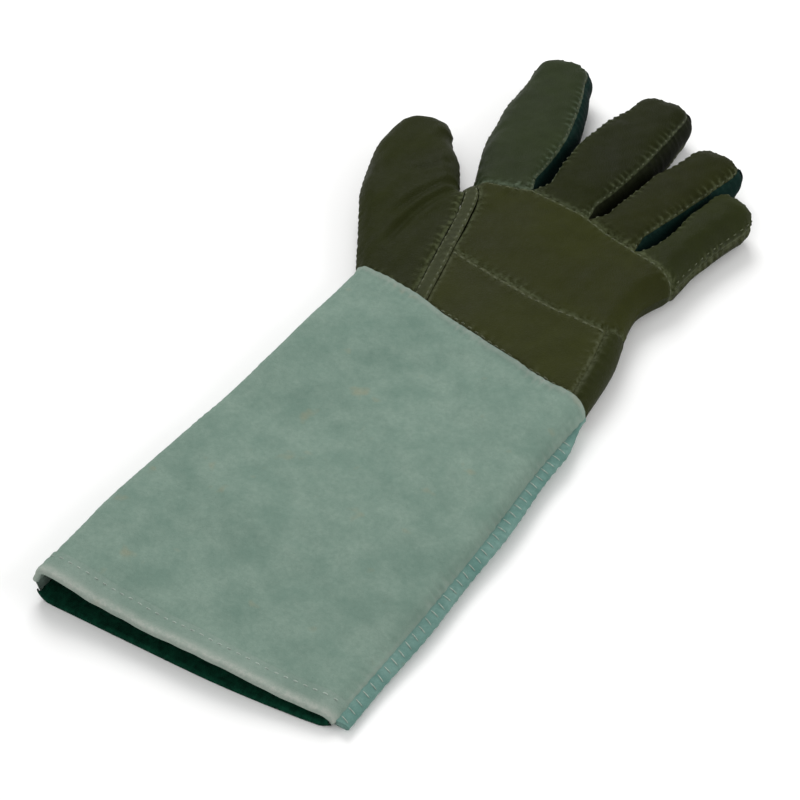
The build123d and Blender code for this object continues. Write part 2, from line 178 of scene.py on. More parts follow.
def read_finger(name):
    """Plan frame and sizes of a finger, from its joints and its CAD pieces."""
    root = joint_spot(f"{name}_knuckle")
    side = joint_side(f"{name}_knuckle")
    ahead = quarter_turn(side)
    return {
        "name": name,
        "root": root,
        "side": side,
        "ahead": ahead,
        "fold": float((joint_spot(f"{name}_middle_fold") - root) @ ahead),
        "length": reach(f"{name}_front_tip", root, ahead) + LENGTHEN[name],
        "base_half": reach(f"{name}_front_base", root, side),
        "tip_half": reach(f"{name}_front_tip", root, side),
    }


DIGITS = {name: read_finger(name) for name in FINGERS}
HAND_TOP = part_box("palm_panel")[1][2] / MM
CUFF_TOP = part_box("cuff_top_panel")[1][2] / MM
MID = HAND_TOP / 2

WRIST_SPOT = joint_spot("wrist_fold")
WRIST_SIDE = -joint_side("wrist_fold")
WRIST_AHEAD = quarter_turn(WRIST_SIDE)
MOUTH_LOW, MOUTH_HIGH = (np.array(c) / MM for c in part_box("mouth_hem_top"))
BINDING_HIGH = np.array(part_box("side_binding")[1]) / MM

# Thumb frame: heading from its tip joint, root on its base joint's line
THUMB_SIDE = joint_side("thumb_tip_fold")
THUMB_AHEAD = quarter_turn(THUMB_SIDE)
THUMB_FOLD = joint_spot("thumb_fold")
THUMB_FOLD_SIDE = joint_side("thumb_fold")
THUMB_TIP_JOINT = joint_spot("thumb_tip_fold")
THUMB_END = reach("thumb_front_tip", THUMB_TIP_JOINT, THUMB_AHEAD)


# ---- curves in plan ----
def spaced(points, shares):
    """Points of a polyline at shares of its length, a count stands for even shares."""
    points = np.asarray(points, float)
    steps = np.linalg.norm(np.diff(points, axis=0), axis=1)
    run = np.concatenate([[0.0], np.cumsum(steps)])
    if isinstance(shares, int):
        shares = np.linspace(0, 1, shares)
    wanted = np.asarray(shares) * run[-1]
    return np.stack([np.interp(wanted, run, points[:, k]) for k in range(points.shape[1])], 1)


def smooth_curve(points, count=200):
    """A smooth curve through given points (Catmull-Rom), evenly spaced."""
    p = np.asarray(points, float)
    p = np.vstack([2 * p[0] - p[1], p, 2 * p[-1] - p[-2]])
    fine = []
    for i in range(1, len(p) - 2):
        t = np.linspace(0, 1, 24, endpoint=False)[:, None]
        a, b, c, d = p[i - 1], p[i], p[i + 1], p[i + 2]
        fine.append(0.5 * (2 * b + (c - a) * t + (2 * a - 5 * b + 4 * c - d) * t ** 2
                           + (3 * b - a - 3 * c + d) * t ** 3))
    fine.append(p[-2][None])
    return spaced(np.vstack(fine), count)


def joined(*curves):
    """Curves end to end, without the doubled points."""
    parts = [np.asarray(curves[0])]
    for curve in curves[1:]:
        parts.append(np.asarray(curve)[1:])
    return np.vstack(parts)


def crowded(count, low=True, high=True):
    """Shares from 0 to 1, closer together at the low end, at the high end or at both."""
    t = np.linspace(0, 1, count)
    if low and high:
        return 0.5 - 0.5 * np.cos(pi * t)
    return np.sin(pi / 2 * t) if high else 1 - np.cos(pi / 2 * t)


def coons(bottom, top, left, right):
    """Grid of plan points between four edge curves: rows from bottom to top."""
    run_left = np.linalg.norm(left - left[0], axis=1)
    run_bottom = np.linalg.norm(bottom - bottom[0], axis=1)
    t = (run_left / run_left[-1])[:, None, None]
    s = (run_bottom / run_bottom[-1])[None, :, None]
    corners = ((1 - t) * ((1 - s) * bottom[0] + s * bottom[-1])
               + t * ((1 - s) * top[0] + s * top[-1]))
    return ((1 - t) * bottom[None] + t * top[None]
            + (1 - s) * left[:, None] + s * right[:, None] - corners)


def nearest(curve, spot):
    """Index of the curve point that is nearest to a spot."""
    return int(np.argmin(np.linalg.norm(curve - spot, axis=1)))


def between(curve, start, end):
    """Part of a curve from near one point to near another."""
    first, last = nearest(curve, start), nearest(curve, end)
    part = curve[first:last + 1].copy() if last >= first else curve[last:first + 1][::-1].copy()
    part[0], part[-1] = start, end
    return part


# ---- plan of the fingers ----
def crotches():
    """Plan points where neighbouring fingers part, with the two outer knuckle ends."""
    first, last = DIGITS["index"], DIGITS["little"]
    spots = [first["root"] - first["side"] * (first["base_half"] - INDEX_ROOT_IN)
             - first["ahead"] * INDEX_ROOT_BACK]
    for a, b in zip(FINGERS[:-1], FINGERS[1:]):
        one, two = DIGITS[a], DIGITS[b]
        right = one["root"] + one["side"] * one["base_half"]
        left = two["root"] - two["side"] * two["base_half"]
        spots.append((right + left) / 2)
    spots.append(last["root"] + last["side"] * (last["base_half"] - LITTLE_ROOT_IN))
    return spots


CROTCH = crotches()
for order, name in enumerate(FINGERS):
    DIGITS[name]["left"] = CROTCH[order]
    DIGITS[name]["right"] = CROTCH[order + 1]


def tip_disc(x, y):
    """Maps a half square (x from -1 to 1, y from 0 to 1) to a half disc with a blunt end."""
    across = x * np.sqrt(1 - y * y / 2)
    along = y * np.sqrt(1 - x * x / 2)
    size = np.hypot(across, along)
    angle = np.arctan2(along, across)
    blunt = (np.abs(np.cos(angle)) ** BLUNT + np.abs(np.sin(angle)) ** BLUNT) ** (-1 / BLUNT)
    blunt = 1 + (blunt - 1) * size
    return across * blunt, along * blunt


def gusset_share(name, across):
    """How open a fourchette is, from -1 on a finger's thumb side to 1 on the other side."""
    if name == "index":
        return np.clip((across + OUTER_FROM) / OUTER_OVER, 0, 1)
    if name == "little":
        return np.clip((OUTER_FROM - across) / OUTER_OVER, 0, 1)
    return np.ones_like(across)


def finger_plan(digit, shaft_shares, tip_shares, columns, inset=0.0):
    """Plan grid of a finger: straight rows along the shaft, then rows that bend round the tip."""
    name = digit["name"]
    half = digit["tip_half"]
    cap = half * TIP_CAP
    start = digit["length"] - cap
    trim = inset * gusset_share(name, np.sign(columns))
    sides = np.where(columns < 0, SWELL[name][0], SWELL[name][1])
    base = digit["left"] + (digit["right"] - digit["left"]) * ((columns[:, None] + 1) / 2)
    end = digit["root"] + digit["ahead"] * start + digit["side"] * (columns[:, None] * half)
    rows = []
    for share in shaft_shares:
        opened = min(share * start / VALLEY, 1.0)
        opened *= 1 - (1 - TIP_INSET) * share ** INSET_FADE
        push = sin(pi * share) * sides * columns - trim * columns * opened
        push = push + LEAN[name] * (share * start / digit["length"]) ** 2
        rows.append(base + (end - base) * share + push[:, None] * digit["side"])
    for y in tip_shares[1:]:
        across, along = tip_disc(columns, np.full_like(columns, y))
        along = along * (cap - TIP_INSET * inset * gusset_share(name, columns))
        lean = LEAN[name] * ((start + along) / digit["length"]) ** 2
        rows.append(digit["root"] + digit["ahead"] * (start + along[:, None])
                    + digit["side"] * ((half - TIP_INSET * trim) * across + lean)[:, None])
    return np.array(rows)


# ---- plan of the hand, thumb and gauntlet ----
# points are given in millimetres, in the CAD model's own frame
MOUTH_LEFT = np.array([MOUTH_LOW[0], MOUTH_LOW[1] + 5.0])
MOUTH_RIGHT = np.array([MOUTH_HIGH[0] - 1.0, MOUTH_LOW[1] + 15.0])
WRIST_LEFT = np.array([-76.5, -38.0])
WRIST_RIGHT = np.array([72.5, -64.0])
WAIST = np.array([59.5, 9.0])
HEEL = np.array([69.0, -28.0])
THUMB_CROTCH = CROTCH[0] + np.array([-3.0, -7.0])
THUMB_ELBOW = THUMB_FOLD - THUMB_FOLD_SIDE * 25.5     # outer end of the thumb's base fold

WRIST_SEAM = smooth_curve([WRIST_LEFT, (-40, -42.5), (0, -50.5), (40, -60), WRIST_RIGHT])
HAND_SIDE = smooth_curve([WRIST_RIGHT, HEEL, (63, -7), WAIST, (60, 20), CROTCH[4]])
SEAM_ONE = smooth_curve([(-38.5, -43.0), (-44, -18), (-51, 15), (-58, 37), THUMB_CROTCH])
SEAM_TWO = smooth_curve([(-30.5, -44.5), (-36, -17), (-43, 15), (-51, 41), CROTCH[0]])
THUMB_TIP_LEFT = THUMB_TIP_JOINT + THUMB_AHEAD * (THUMB_END - 17) - THUMB_SIDE * 18.5
THUMB_TIP_RIGHT = THUMB_TIP_JOINT + THUMB_AHEAD * (THUMB_END - 13) + THUMB_SIDE * 18.0
THUMB_TOP = THUMB_TIP_JOINT + THUMB_AHEAD * THUMB_END


def seam_start(curve):
    """Moves a seam's first point on to the wrist seam, and the ones after it less and less."""
    foot = WRIST_SEAM[nearest(WRIST_SEAM, curve[0])]
    fade = np.linspace(1, 0, len(curve))[:, None] ** 3
    return curve + (foot - curve[0]) * fade


SEAM_ONE = seam_start(SEAM_ONE)
SEAM_TWO = seam_start(SEAM_TWO)

BAND_SHARE = 0.40                                # the band meets the welt at this share of it
BAND_LEFT = SEAM_TWO[int(len(SEAM_TWO) * BAND_SHARE)]
BAND_RIGHT = np.array([57.5, -17.0])
SIDE_TOP = HAND_SIDE[nearest(HAND_SIDE, (61.0, -10.0))]
STRIP_FOOT = WRIST_SEAM[nearest(WRIST_SEAM, (64.0, -64.0))]
BAND_SEAM = smooth_curve([BAND_LEFT, (-5, -11.0), (28, -16.5), BAND_RIGHT])
BAND_CAP = spaced([BAND_RIGHT, SIDE_TOP], 10)
STRIP_SEAM = smooth_curve([STRIP_FOOT, (61.5, -40), BAND_RIGHT])
FINGER_SEAM = joined(*[spaced([CROTCH[k], CROTCH[k + 1]], 31) for k in range(4)])


def thumb_spot(origin, ahead, side):
    """A plan point ahead of and beside another one, in the thumb's own frame."""
    return origin + THUMB_AHEAD * ahead + THUMB_SIDE * side


def thumb_outline():
    """Inner edge from the crotch, the tip, and the outer edge back to the wrist."""
    tip_inner = thumb_spot(THUMB_TOP, -3.4, 14.5)
    tip_outer = thumb_spot(THUMB_TOP, -5.0, -12.5)
    inner = smooth_curve([
        THUMB_CROTCH,
        thumb_spot(THUMB_CROTCH, 12.0, -1.5),
        thumb_spot(THUMB_CROTCH, 27.0, -3.5),
        thumb_spot(THUMB_TIP_RIGHT, -8.0, 0.3),
        THUMB_TIP_RIGHT,
        tip_inner,
    ])
    tip = smooth_curve([
        tip_inner,
        thumb_spot(THUMB_TOP, 0.2, 6.0),
        thumb_spot(THUMB_TOP, -0.6, -4.0),
        tip_outer,
    ])
    outer_high = smooth_curve([
        tip_outer,
        THUMB_TIP_LEFT,
        thumb_spot(THUMB_TIP_LEFT, -16.0, -4.5),
        thumb_spot(THUMB_ELBOW, 15.0, -1.5),
        THUMB_ELBOW,
    ])
    outer_low = smooth_curve([THUMB_ELBOW, (-92.3, -12.0), WRIST_LEFT])
    return inner, tip, outer_high, outer_low


THUMB_INNER, THUMB_TIP, THUMB_OUTER, WING_OUTER = thumb_outline()


# ---- the outline that every surface rolls down to ----
def finger_rim(digit, step=0.5):
    """Outline of one finger, from its thumb-side crotch round the tip to the other."""
    count = int(digit["length"] / step)
    shares = np.linspace(0, 1, count)
    grid = finger_plan(digit, shares, np.linspace(0, 1, 30), np.linspace(-1, 1, 60))
    return joined(grid[:, 0], grid[-1], grid[::-1, -1])


def whole_rim():
    """Outline samples of the hand and all digits, with the gusset share at each."""
    pieces = [(HAND_SIDE, np.zeros(len(HAND_SIDE)))]
    for name in reversed(FINGERS):
        rim = finger_rim(DIGITS[name])[::-1]
        digit = DIGITS[name]
        across = (rim - digit["root"]) @ digit["side"] / digit["tip_half"]
        pieces.append((rim, gusset_share(name, across)))
    web = spaced([CROTCH[0], THUMB_CROTCH], 20)
    thumb = joined(THUMB_INNER, THUMB_TIP, THUMB_OUTER, WING_OUTER)
    thumb = spaced(thumb, 900)
    for extra in (web, thumb):
        pieces.append((extra, np.zeros(len(extra))))
    spots = np.vstack([p[0] for p in pieces])
    return spots, np.concatenate([p[1] for p in pieces])


def ease(value):
    """Smooth step from 0 to 1."""
    value = np.clip(value, 0, 1)
    return value * value * (3 - 2 * value)


RIM, RIM_GUSSET = whole_rim()
FORKS = np.array(CROTCH[1:4])
RIM_OPEN = ease(np.linalg.norm(RIM[:, None] - FORKS[None], axis=2).min(axis=1) / VALLEY)
RIM_TREE = kdtree.KDTree(len(RIM))
for order, spot in enumerate(RIM):
    RIM_TREE.insert((spot[0], spot[1], 0), order)
RIM_TREE.balance()


def rim_distance(spots):
    """Distance from each plan point to the outline, with the gusset and valley shares there."""
    distance = np.empty(len(spots))
    share = np.empty(len(spots))
    opened = np.empty(len(spots))
    for i, spot in enumerate(spots):
        _, near, far = RIM_TREE.find((spot[0], spot[1], 0))
        best = far
        for other in (near - 1, near + 1):
            if 0 <= other < len(RIM):
                a, b = RIM[near], RIM[other]
                run = b - a
                length = run @ run
                if 1e-9 < length < 4:
                    t = min(max((spot - a) @ run / length, 0), 1)
                    best = min(best, float(np.hypot(*(spot - a - run * t))))
        distance[i] = best
        share[i] = RIM_GUSSET[near]
        opened[i] = RIM_OPEN[near]
    return distance, share, opened


def hand_thickness(spots):
    """Thickness of the hand at plan points: it thins towards the wrist seam."""
    from_wrist = (spots - WRIST_SPOT) @ WRIST_AHEAD
    share = np.clip(from_wrist / THIN_LENGTH, 0, 1) ** THIN_CURVE
    return CUFF_TOP + (HAND_TOP - CUFF_TOP) * share


def hand_height(spots, on_rim):
    """Heights of the palm-side and back-side skins at plan points."""
    distance, share, opened = rim_distance(spots)
    distance[on_rim] = 0
    thick = hand_thickness(spots)
    half = thick / 2
    edge = np.minimum(GUSSET / 2 * share, half - RIM_ROOM)
    edge = half - (half - edge) * opened
    s = np.clip(distance / ROLL, 0, 1)
    rise = edge + (half - edge) * np.sqrt(1 - (1 - s) ** 2)
    return half + rise, half - rise


# ---- small deformations ----
def ripple(points, wavelength, seed, waves=9):
    """Smooth seeded noise, about -1 to 1, made of waves in random directions."""
    rng = np.random.default_rng(seed)
    total = np.zeros(points.shape[:-1])
    for _ in range(waves):
        way = rng.normal(size=points.shape[-1])
        way /= np.linalg.norm(way)
        length = wavelength * rng.uniform(0.7, 1.6)
        total += np.sin(points @ way * 2 * pi / length + rng.uniform(0, 2 * pi))
    return total / waves ** 0.5


def lumpy(points, layers, seed):
    """Soft lumps: layers of smooth noise, each with its own height and wavelength."""
    return sum(height * ripple(points, wavelength, seed + order)
               for order, (height, wavelength) in enumerate(layers))


def hump(distance, centre, width):
    """A bell curve, 1 at its centre."""
    return np.exp(-((distance - centre) / width) ** 2)


def grid_normals(grid):
    """Unit normals of a grid of points."""
    down = np.gradient(grid, axis=0)
    across = np.gradient(grid, axis=1)
    normal = np.cross(across, down)
    size = np.linalg.norm(normal, axis=2, keepdims=True)
    return normal / np.maximum(size, 1e-9)


class Seams:
    """Nearest-point lookup on a set of seam curves in space."""

    def __init__(self, curves):
        self.runs = []
        spots = []
        for curve in curves:
            curve = spaced(curve, max(len(curve), 40))
            steps = np.linalg.norm(np.diff(curve, axis=0), axis=1)
            self.runs.append(np.concatenate([[0], np.cumsum(steps)]))
            spots.append(curve)
        self.spots = np.vstack(spots)
        self.run = np.concatenate(self.runs)
        self.tree = kdtree.KDTree(len(self.spots))
        for order, spot in enumerate(self.spots):
            self.tree.insert(spot, order)
        self.tree.balance()

    def look(self, points):
        """Distance to the nearest seam and the place along it."""
        flat = points.reshape(-1, 3)
        distance = np.empty(len(flat))
        place = np.empty(len(flat))
        for i, point in enumerate(flat):
            _, near, far = self.tree.find(point)
            distance[i] = far
            place[i] = self.run[near]
        return distance.reshape(points.shape[:-1]), place.reshape(points.shape[:-1])


def sew(grid, edges, depth=0.9, width=1.7, pucker=0.35, spread=5.0, plump=0.35, rib=0.35,
        seed=1):
    """Pulls a grid in along its seams, with gathers and a soft swell beside them."""
    normal = grid_normals(grid)
    distance, place = Seams(edges).look(grid)
    groove = -depth * hump(distance, 0, width)
    swell = plump * hump(distance, *SEAM_PLUMP)
    uneven, uneven_over = PUCKER_WANDER
    varies, varies_over = PUCKER_VARIES
    wander = ripple(np.stack([place, place * 0.3 + 7], -1), uneven_over, seed)
    gathers = np.cos(2 * pi * place / PUCKER_PITCH + uneven * wander)
    change = ripple(np.stack([place, place * 0.7], -1), varies_over, seed + 5)
    strength = 1 - varies + varies * change
    fall = hump(distance, 0, spread) * (1 - 0.6 * hump(distance, 0, SEAM_BARE))
    moved = grid + normal * (groove + swell + pucker * strength * gathers * fall)[..., None]
    # pale tone mask: wear and painted highlight on the gathers' crests and along the seam
    ribs = np.clip(gathers, 0, 1) ** 2 * hump(distance, *SEAM_RIBS)
    line = 0.8 * hump(distance, *SEAM_LINE)
    return moved, np.clip(line + rib * strength * ribs, 0, 1)


def crease(grid, path, depth, width, ridge=0.35):
    """Presses a crease into a grid along a plan path that fades out at its ends."""
    path = smooth_curve(path, 80)
    tree = kdtree.KDTree(len(path))
    for order, spot in enumerate(path):
        tree.insert((spot[0], spot[1], 0), order)
    tree.balance()
    normal = grid_normals(grid)
    flat = grid.reshape(-1, 3)
    amount = np.empty(len(flat))
    for i, point in enumerate(flat):
        _, near, far = tree.find((point[0], point[1], 0))
        fade = sin(pi * near / (len(path) - 1)) ** 0.6
        beside = hump(far, 2.1 * width, 1.1 * width)
        amount[i] = fade * depth * (ridge * beside - hump(far, 0, width))
    return grid + normal * amount.reshape(grid.shape[:-1])[..., None]


# ---- materials ----
def linear(r, g, b):
    """Scene colour of an 8-bit screen colour."""
    def channel(v):
        v = v / 255
        return v / 12.92 if v <= 0.04045 else ((v + 0.055) / 1.055) ** 2.4
    return (channel(r), channel(g), channel(b), 1.0)


def node(tree, kind, **values):
    """A shader node with its sockets set by name."""
    made = tree.nodes.new(kind)
    for key, value in values.items():
        if key in made.inputs:
            made.inputs[key].default_value = value
        else:
            setattr(made, key, value)
    return made


def start_material(name, roughness, specular=0.4, sheen=0.0, sheen_tint=None):
    """Material with a principled shader that reads the rest coordinates."""
    material = bpy.data.materials.new(name)
    material.use_nodes = True
    tree = material.node_tree
    shader = tree.nodes["Principled BSDF"]
    shader.inputs["Roughness"].default_value = roughness
    shader.inputs["Specular IOR Level"].default_value = specular
    shader.inputs["IOR"].default_value = 1.3
    shader.inputs["Sheen Weight"].default_value = sheen
    shader.inputs["Sheen Roughness"].default_value = 0.5
    if sheen_tint:
        shader.inputs["Sheen Tint"].default_value = sheen_tint
    rest = node(tree, "ShaderNodeAttribute", attribute_name="rest")
    return material, tree, shader, rest.outputs["Vector"]


def noise(tree, place, scale, detail=3.0, roughness=0.55):
    """Noise factor at a scale in features per metre."""
    made = node(tree, "ShaderNodeTexNoise", Scale=scale, Detail=detail, Roughness=roughness)
    tree.links.new(place, made.inputs["Vector"])
    return made.outputs["Fac"]


def span(tree, value, low, high, out_low=0.0, out_high=1.0):
    """Remaps a value from one span to another, clamped."""
    made = node(tree, "ShaderNodeMapRange")
    made.inputs["From Min"].default_value = low
    made.inputs["From Max"].default_value = high
    made.inputs["To Min"].default_value = out_low
    made.inputs["To Max"].default_value = out_high
    tree.links.new(value, made.inputs["Value"])
    return made.outputs["Result"]


def mix(tree, factor, first, second):
    """Colour mix. Each input is a colour or a socket."""
    made = node(tree, "ShaderNodeMix", data_type="RGBA")
    for key, value in ((0, factor), (6, first), (7, second)):
        if isinstance(value, bpy.types.NodeSocket):
            tree.links.new(value, made.inputs[key])
        else:
            made.inputs[key].default_value = value
    return made.outputs[2]


def math(tree, operation, first, second=0.0):
    """One arithmetic step on sockets or numbers."""
    made = node(tree, "ShaderNodeMath", operation=operation)
    for key, value in ((0, first), (1, second)):
        if isinstance(value, bpy.types.NodeSocket):
            tree.links.new(value, made.inputs[key])
        else:
            made.inputs[key].default_value = value
    return made.outputs[0]


def times(tree, value, amount):
    """A socket multiplied by a number or by another socket."""
    return math(tree, "MULTIPLY", value, amount)


def plus(tree, value, amount):
    """A number or another socket added to a socket."""
    return math(tree, "ADD", value, amount)


def bump(tree, shader, height, strength, distance):
    """Adds a bump from a height socket to the shader."""
    made = node(tree, "ShaderNodeBump", Strength=strength, Distance=distance)
    tree.links.new(height, made.inputs["Height"])
    tree.links.new(made.outputs["Normal"], shader.inputs["Normal"])


def shade(color, factor):
    """A colour made lighter or darker."""
    return (color[0] * factor, color[1] * factor, color[2] * factor, 1.0)


def leather(name, color, worn_and_highlight_tone, roughness=0.56):
    """Supple grain leather: mottled colour, pebble grain, paler along its seams from wear and
    painted highlight.
    """
    material, tree, shader, place = start_material(name, roughness, specular=0.14)
    broad = span(tree, noise(tree, place, scale=26.0, detail=4.0), 0.32, 0.68)
    patch = span(tree, noise(tree, place, scale=110.0, detail=4.0, roughness=0.6), 0.35, 0.65)
    tone = mix(tree, broad, shade(color, 0.82), shade(color, 1.18))
    tone = mix(tree, times(tree, patch, 0.30), tone, shade(color, 0.66))
    rub_and_highlight = noise(tree, place, scale=420.0, detail=3.0, roughness=0.6)
    # the pale seam tone is partly wear and partly painted highlight, where seam ridges and gather
    # crests catch light
    seam = node(tree, "ShaderNodeAttribute", attribute_name="seam").outputs["Fac"]
    wear_and_highlight = times(tree, seam, span(tree, rub_and_highlight, 0.34, 0.56))
    tone = mix(tree, times(tree, wear_and_highlight, 0.8), tone, worn_and_highlight_tone)
    tree.links.new(tone, shader.inputs["Base Color"])
    cells = node(tree, "ShaderNodeTexVoronoi", Scale=760.0, feature="DISTANCE_TO_EDGE")
    tree.links.new(place, cells.inputs["Vector"])
    pebble = span(tree, cells.outputs["Distance"], 0.0, 0.32)
    fine = noise(tree, place, scale=2600.0, detail=2.0)
    folds = noise(tree, place, scale=160.0, detail=3.0, roughness=0.6)
    height = plus(tree, times(tree, fine, 0.25), times(tree, folds, 1.3))
    height = plus(tree, times(tree, pebble, 0.5), height)
    bump(tree, shader, height, 0.55, 0.00045)
    rough = span(tree, plus(tree, rub_and_highlight, broad), 0.6, 1.5, roughness - 0.08, roughness + 0.12)
    tree.links.new(rough, shader.inputs["Roughness"])
    return material


def suede(name, color, pale, dark):
    """Brushed split leather: cloudy tone, short nap and a few tan marks."""
    material, tree, shader, place = start_material(
        name, 0.92, specular=0.08, sheen=0.18, sheen_tint=linear(205, 225, 212))
    cloud = span(tree, noise(tree, place, scale=19.0, detail=6.0, roughness=0.62), 0.22, 0.7)
    smear = span(tree, noise(tree, place, scale=55.0, detail=5.0, roughness=0.65), 0.36, 0.64)
    speck = span(tree, noise(tree, place, scale=420.0, detail=4.0, roughness=0.7), 0.35, 0.66)
    tone = mix(tree, plus(tree, times(tree, cloud, 0.62), 0.24), dark, color)
    tone = mix(tree, times(tree, smear, 0.55), tone, pale)
    tone = mix(tree, times(tree, speck, 0.36), tone, dark)
    tan = span(tree, noise(tree, place, scale=75.0, detail=2.0, roughness=0.5), 0.68, 0.78)
    tone = mix(tree, times(tree, tan, 0.35), tone, linear(140, 132, 104))
    # pale along the panel edges and the hem's lip: painted highlight where rolled edges catch
    # light, partly wear
    seam = node(tree, "ShaderNodeAttribute", attribute_name="seam").outputs["Fac"]
    rub_and_highlight = times(tree, seam, span(tree, speck, 0.2, 0.8, 0.5, 0.9))
    tone = mix(tree, rub_and_highlight, tone, linear(166, 170, 162))
    tree.links.new(tone, shader.inputs["Base Color"])
    nap = noise(tree, place, scale=1900.0, detail=3.0, roughness=0.7)
    brush = noise(tree, place, scale=300.0, detail=4.0, roughness=0.65)
    height = plus(tree, nap, times(tree, brush, 1.4))
    bump(tree, shader, height, 0.6, 0.0005)
    return material


def woven(name, color, dark):
    """Brushed cotton lining with a plain weave."""
    material, tree, shader, place = start_material(
        name, 0.95, specular=0.05, sheen=0.15, sheen_tint=linear(60, 110, 85))
    fluff = noise(tree, place, scale=240.0, detail=4.0, roughness=0.7)
    tone = mix(tree, span(tree, fluff, 0.35, 0.65), dark, color)
    warp = node(tree, "ShaderNodeTexWave", Scale=330.0, Distortion=0.6, bands_direction="X")
    weft = node(tree, "ShaderNodeTexWave", Scale=330.0, Distortion=0.6, bands_direction="Y")
    for thread in (warp, weft):
        tree.links.new(place, thread.inputs["Vector"])
    weave = times(tree, warp.outputs["Fac"], weft.outputs["Fac"])
    tone = mix(tree, times(tree, weave, 0.25), tone, shade(color, 1.4))
    tree.links.new(tone, shader.inputs["Base Color"])
    bump(tree, shader, plus(tree, weave, fluff), 0.5, 0.0004)
    return material


def sewing_thread(name, color):
    """Twisted thread: fine slanted bands and a dusty tone."""
    material, tree, shader, place = start_material(name, 0.75, specular=0.25, sheen=0.2)
    dust = noise(tree, place, scale=700.0, detail=2.0)
    tone = mix(tree, span(tree, dust, 0.35, 0.65), shade(color, 0.75), shade(color, 1.15))
    tree.links.new(tone, shader.inputs["Base Color"])
    twist = node(tree, "ShaderNodeTexWave", Scale=900.0, bands_direction="DIAGONAL")
    tree.links.new(place, twist.inputs["Vector"])
    bump(tree, shader, twist.outputs["Fac"], 0.5, 0.0002)
    return material


SKINS = {
    "palm": leather("palm_leather", linear(41, 44, 13), linear(80, 86, 62)),
    "band": leather("band_leather", linear(44, 47, 18), linear(84, 88, 66)),
    "thumb": leather("thumb_leather", linear(33, 37, 9), linear(78, 84, 58)),
    "index": leather("index_leather", linear(39, 47, 26), linear(86, 98, 80)),
    "middle": leather("middle_leather", linear(28, 32, 6), linear(76, 83, 60)),
    "ring": leather("ring_leather", linear(32, 35, 8), linear(78, 84, 58)),
    "little": leather("little_leather", linear(37, 42, 15), linear(80, 86, 60)),
    "back": leather("back_leather", linear(36, 40, 13), linear(76, 80, 58)),
    # fourchettes: dark teal and dark olive leather, their darkness matched to the fourchettes as
    # seen in shade between the fingers: partly painted shade
    "gusset": leather("teal_fourchette_painted_shade", linear(7, 28, 24), linear(30, 56, 48), 0.8),
    "olive_gusset_painted_shade": leather("olive_fourchette_painted_shade", linear(17, 20, 7), linear(42, 47, 28),
                            0.8),
    "welt": leather("welt_leather", linear(50, 54, 32), linear(88, 92, 68)),
    "suede": suede("cuff_suede", linear(116, 138, 126), linear(135, 153, 141),
                   linear(93, 117, 106)),
    "hem": suede("hem_suede", linear(120, 139, 128), linear(137, 152, 142),
                 linear(99, 121, 110)),
    "binding": suede("binding_suede", linear(98, 134, 126), linear(128, 156, 148),
                     linear(70, 104, 97)),
    # dark green cotton lining, its darkness partly painted shade matched to the mouth's shaded
    # inside
    "lining": woven("cuff_lining_cotton_painted_shade", linear(14, 58, 42), linear(5, 30, 22)),
    "thread": sewing_thread("olive_thread", linear(78, 83, 58)),
    "pale_thread": sewing_thread("pale_thread", linear(146, 160, 150)),
}


# ---- making pieces ----
def add_mesh(name, points, faces, material, seam=None, normals=None):
    """A mesh object in metres, with its rest coordinates and seam closeness stored."""
    points[:, 2] = np.maximum(points[:, 2], 0.0)
    mesh = bpy.data.meshes.new(name)
    mesh.from_pydata([tuple(p) for p in points * MM], [], faces)
    mesh.materials.append(material)
    mesh.polygons.foreach_set("use_smooth", np.ones(len(mesh.polygons), bool))
    rest = mesh.attributes.new("rest", "FLOAT_VECTOR", "POINT")
    rest.data.foreach_set("vector", (points * MM).astype(np.float32).ravel())
    close = mesh.attributes.new("seam", "FLOAT", "POINT")
    values = np.zeros(len(points)) if seam is None else seam
    close.data.foreach_set("value", values.astype(np.float32))
    if normals is not None:
        mesh.normals_split_custom_set_from_vertices([tuple(n) for n in normals])
    piece = bpy.data.objects.new(name, mesh)
    bpy.context.collection.objects.link(piece)
    return piece


def grid_faces(rows, columns, start=0, flip=False):
    """Quads of a grid of points stored row by row."""
    faces = []
    for r in range(rows - 1):
        for c in range(columns - 1):
            a = start + r * columns + c
            quad = (a, a + 1, a + columns + 1, a + columns)
            faces.append(quad[::-1] if flip else quad)
    return faces


def rim_faces(rows, columns, flip=False):
    """Quads that close the four edges between an outer and an inner grid."""
    loop = [c for c in range(columns)]
    loop += [r * columns + columns - 1 for r in range(1, rows)]
    loop += [(rows - 1) * columns + c for c in range(columns - 2, -1, -1)]
    loop += [r * columns for r in range(rows - 2, 0, -1)]
    inner = rows * columns
    faces = []
    for a, b in zip(loop, loop[1:] + loop[:1]):
        quad = (b, a, a + inner, b + inner)
        faces.append(quad[::-1] if flip else quad)
    return faces


def panel(name, grid, outward, thickness, material, seam, normals=None):
    """A panel with real thickness. outward is 1 where grid normals point out, else -1."""
    rows, columns = grid.shape[:2]
    if normals is None:
        normals = grid_normals(grid)
    out = normals * outward
    inside = grid - out * thickness
    points = np.vstack([grid.reshape(-1, 3), inside.reshape(-1, 3)])
    flip = outward < 0
    faces = grid_faces(rows, columns, 0, flip)
    faces += grid_faces(rows, columns, rows * columns, not flip)
    faces += rim_faces(rows, columns, flip)
    both = np.vstack([out.reshape(-1, 3), -out.reshape(-1, 3)])
    seams = np.concatenate([seam.ravel(), seam.ravel() * 0])
    return add_mesh(name, points, faces, material, seams, both)


def tube_faces(rings, around, start=0, flip=False):
    """Quads round a tube of point rings, with a cap at each end."""
    faces = []
    for ring in range(rings - 1):
        for k in range(around):
            a = start + ring * around + k
            b = start + ring * around + (k + 1) % around
            faces.append((a, b, b + around, a + around))
    faces.append(tuple(start + k for k in range(around))[::-1])
    faces.append(tuple(start + (rings - 1) * around + k for k in range(around)))
    return [face[::-1] for face in faces] if flip else faces


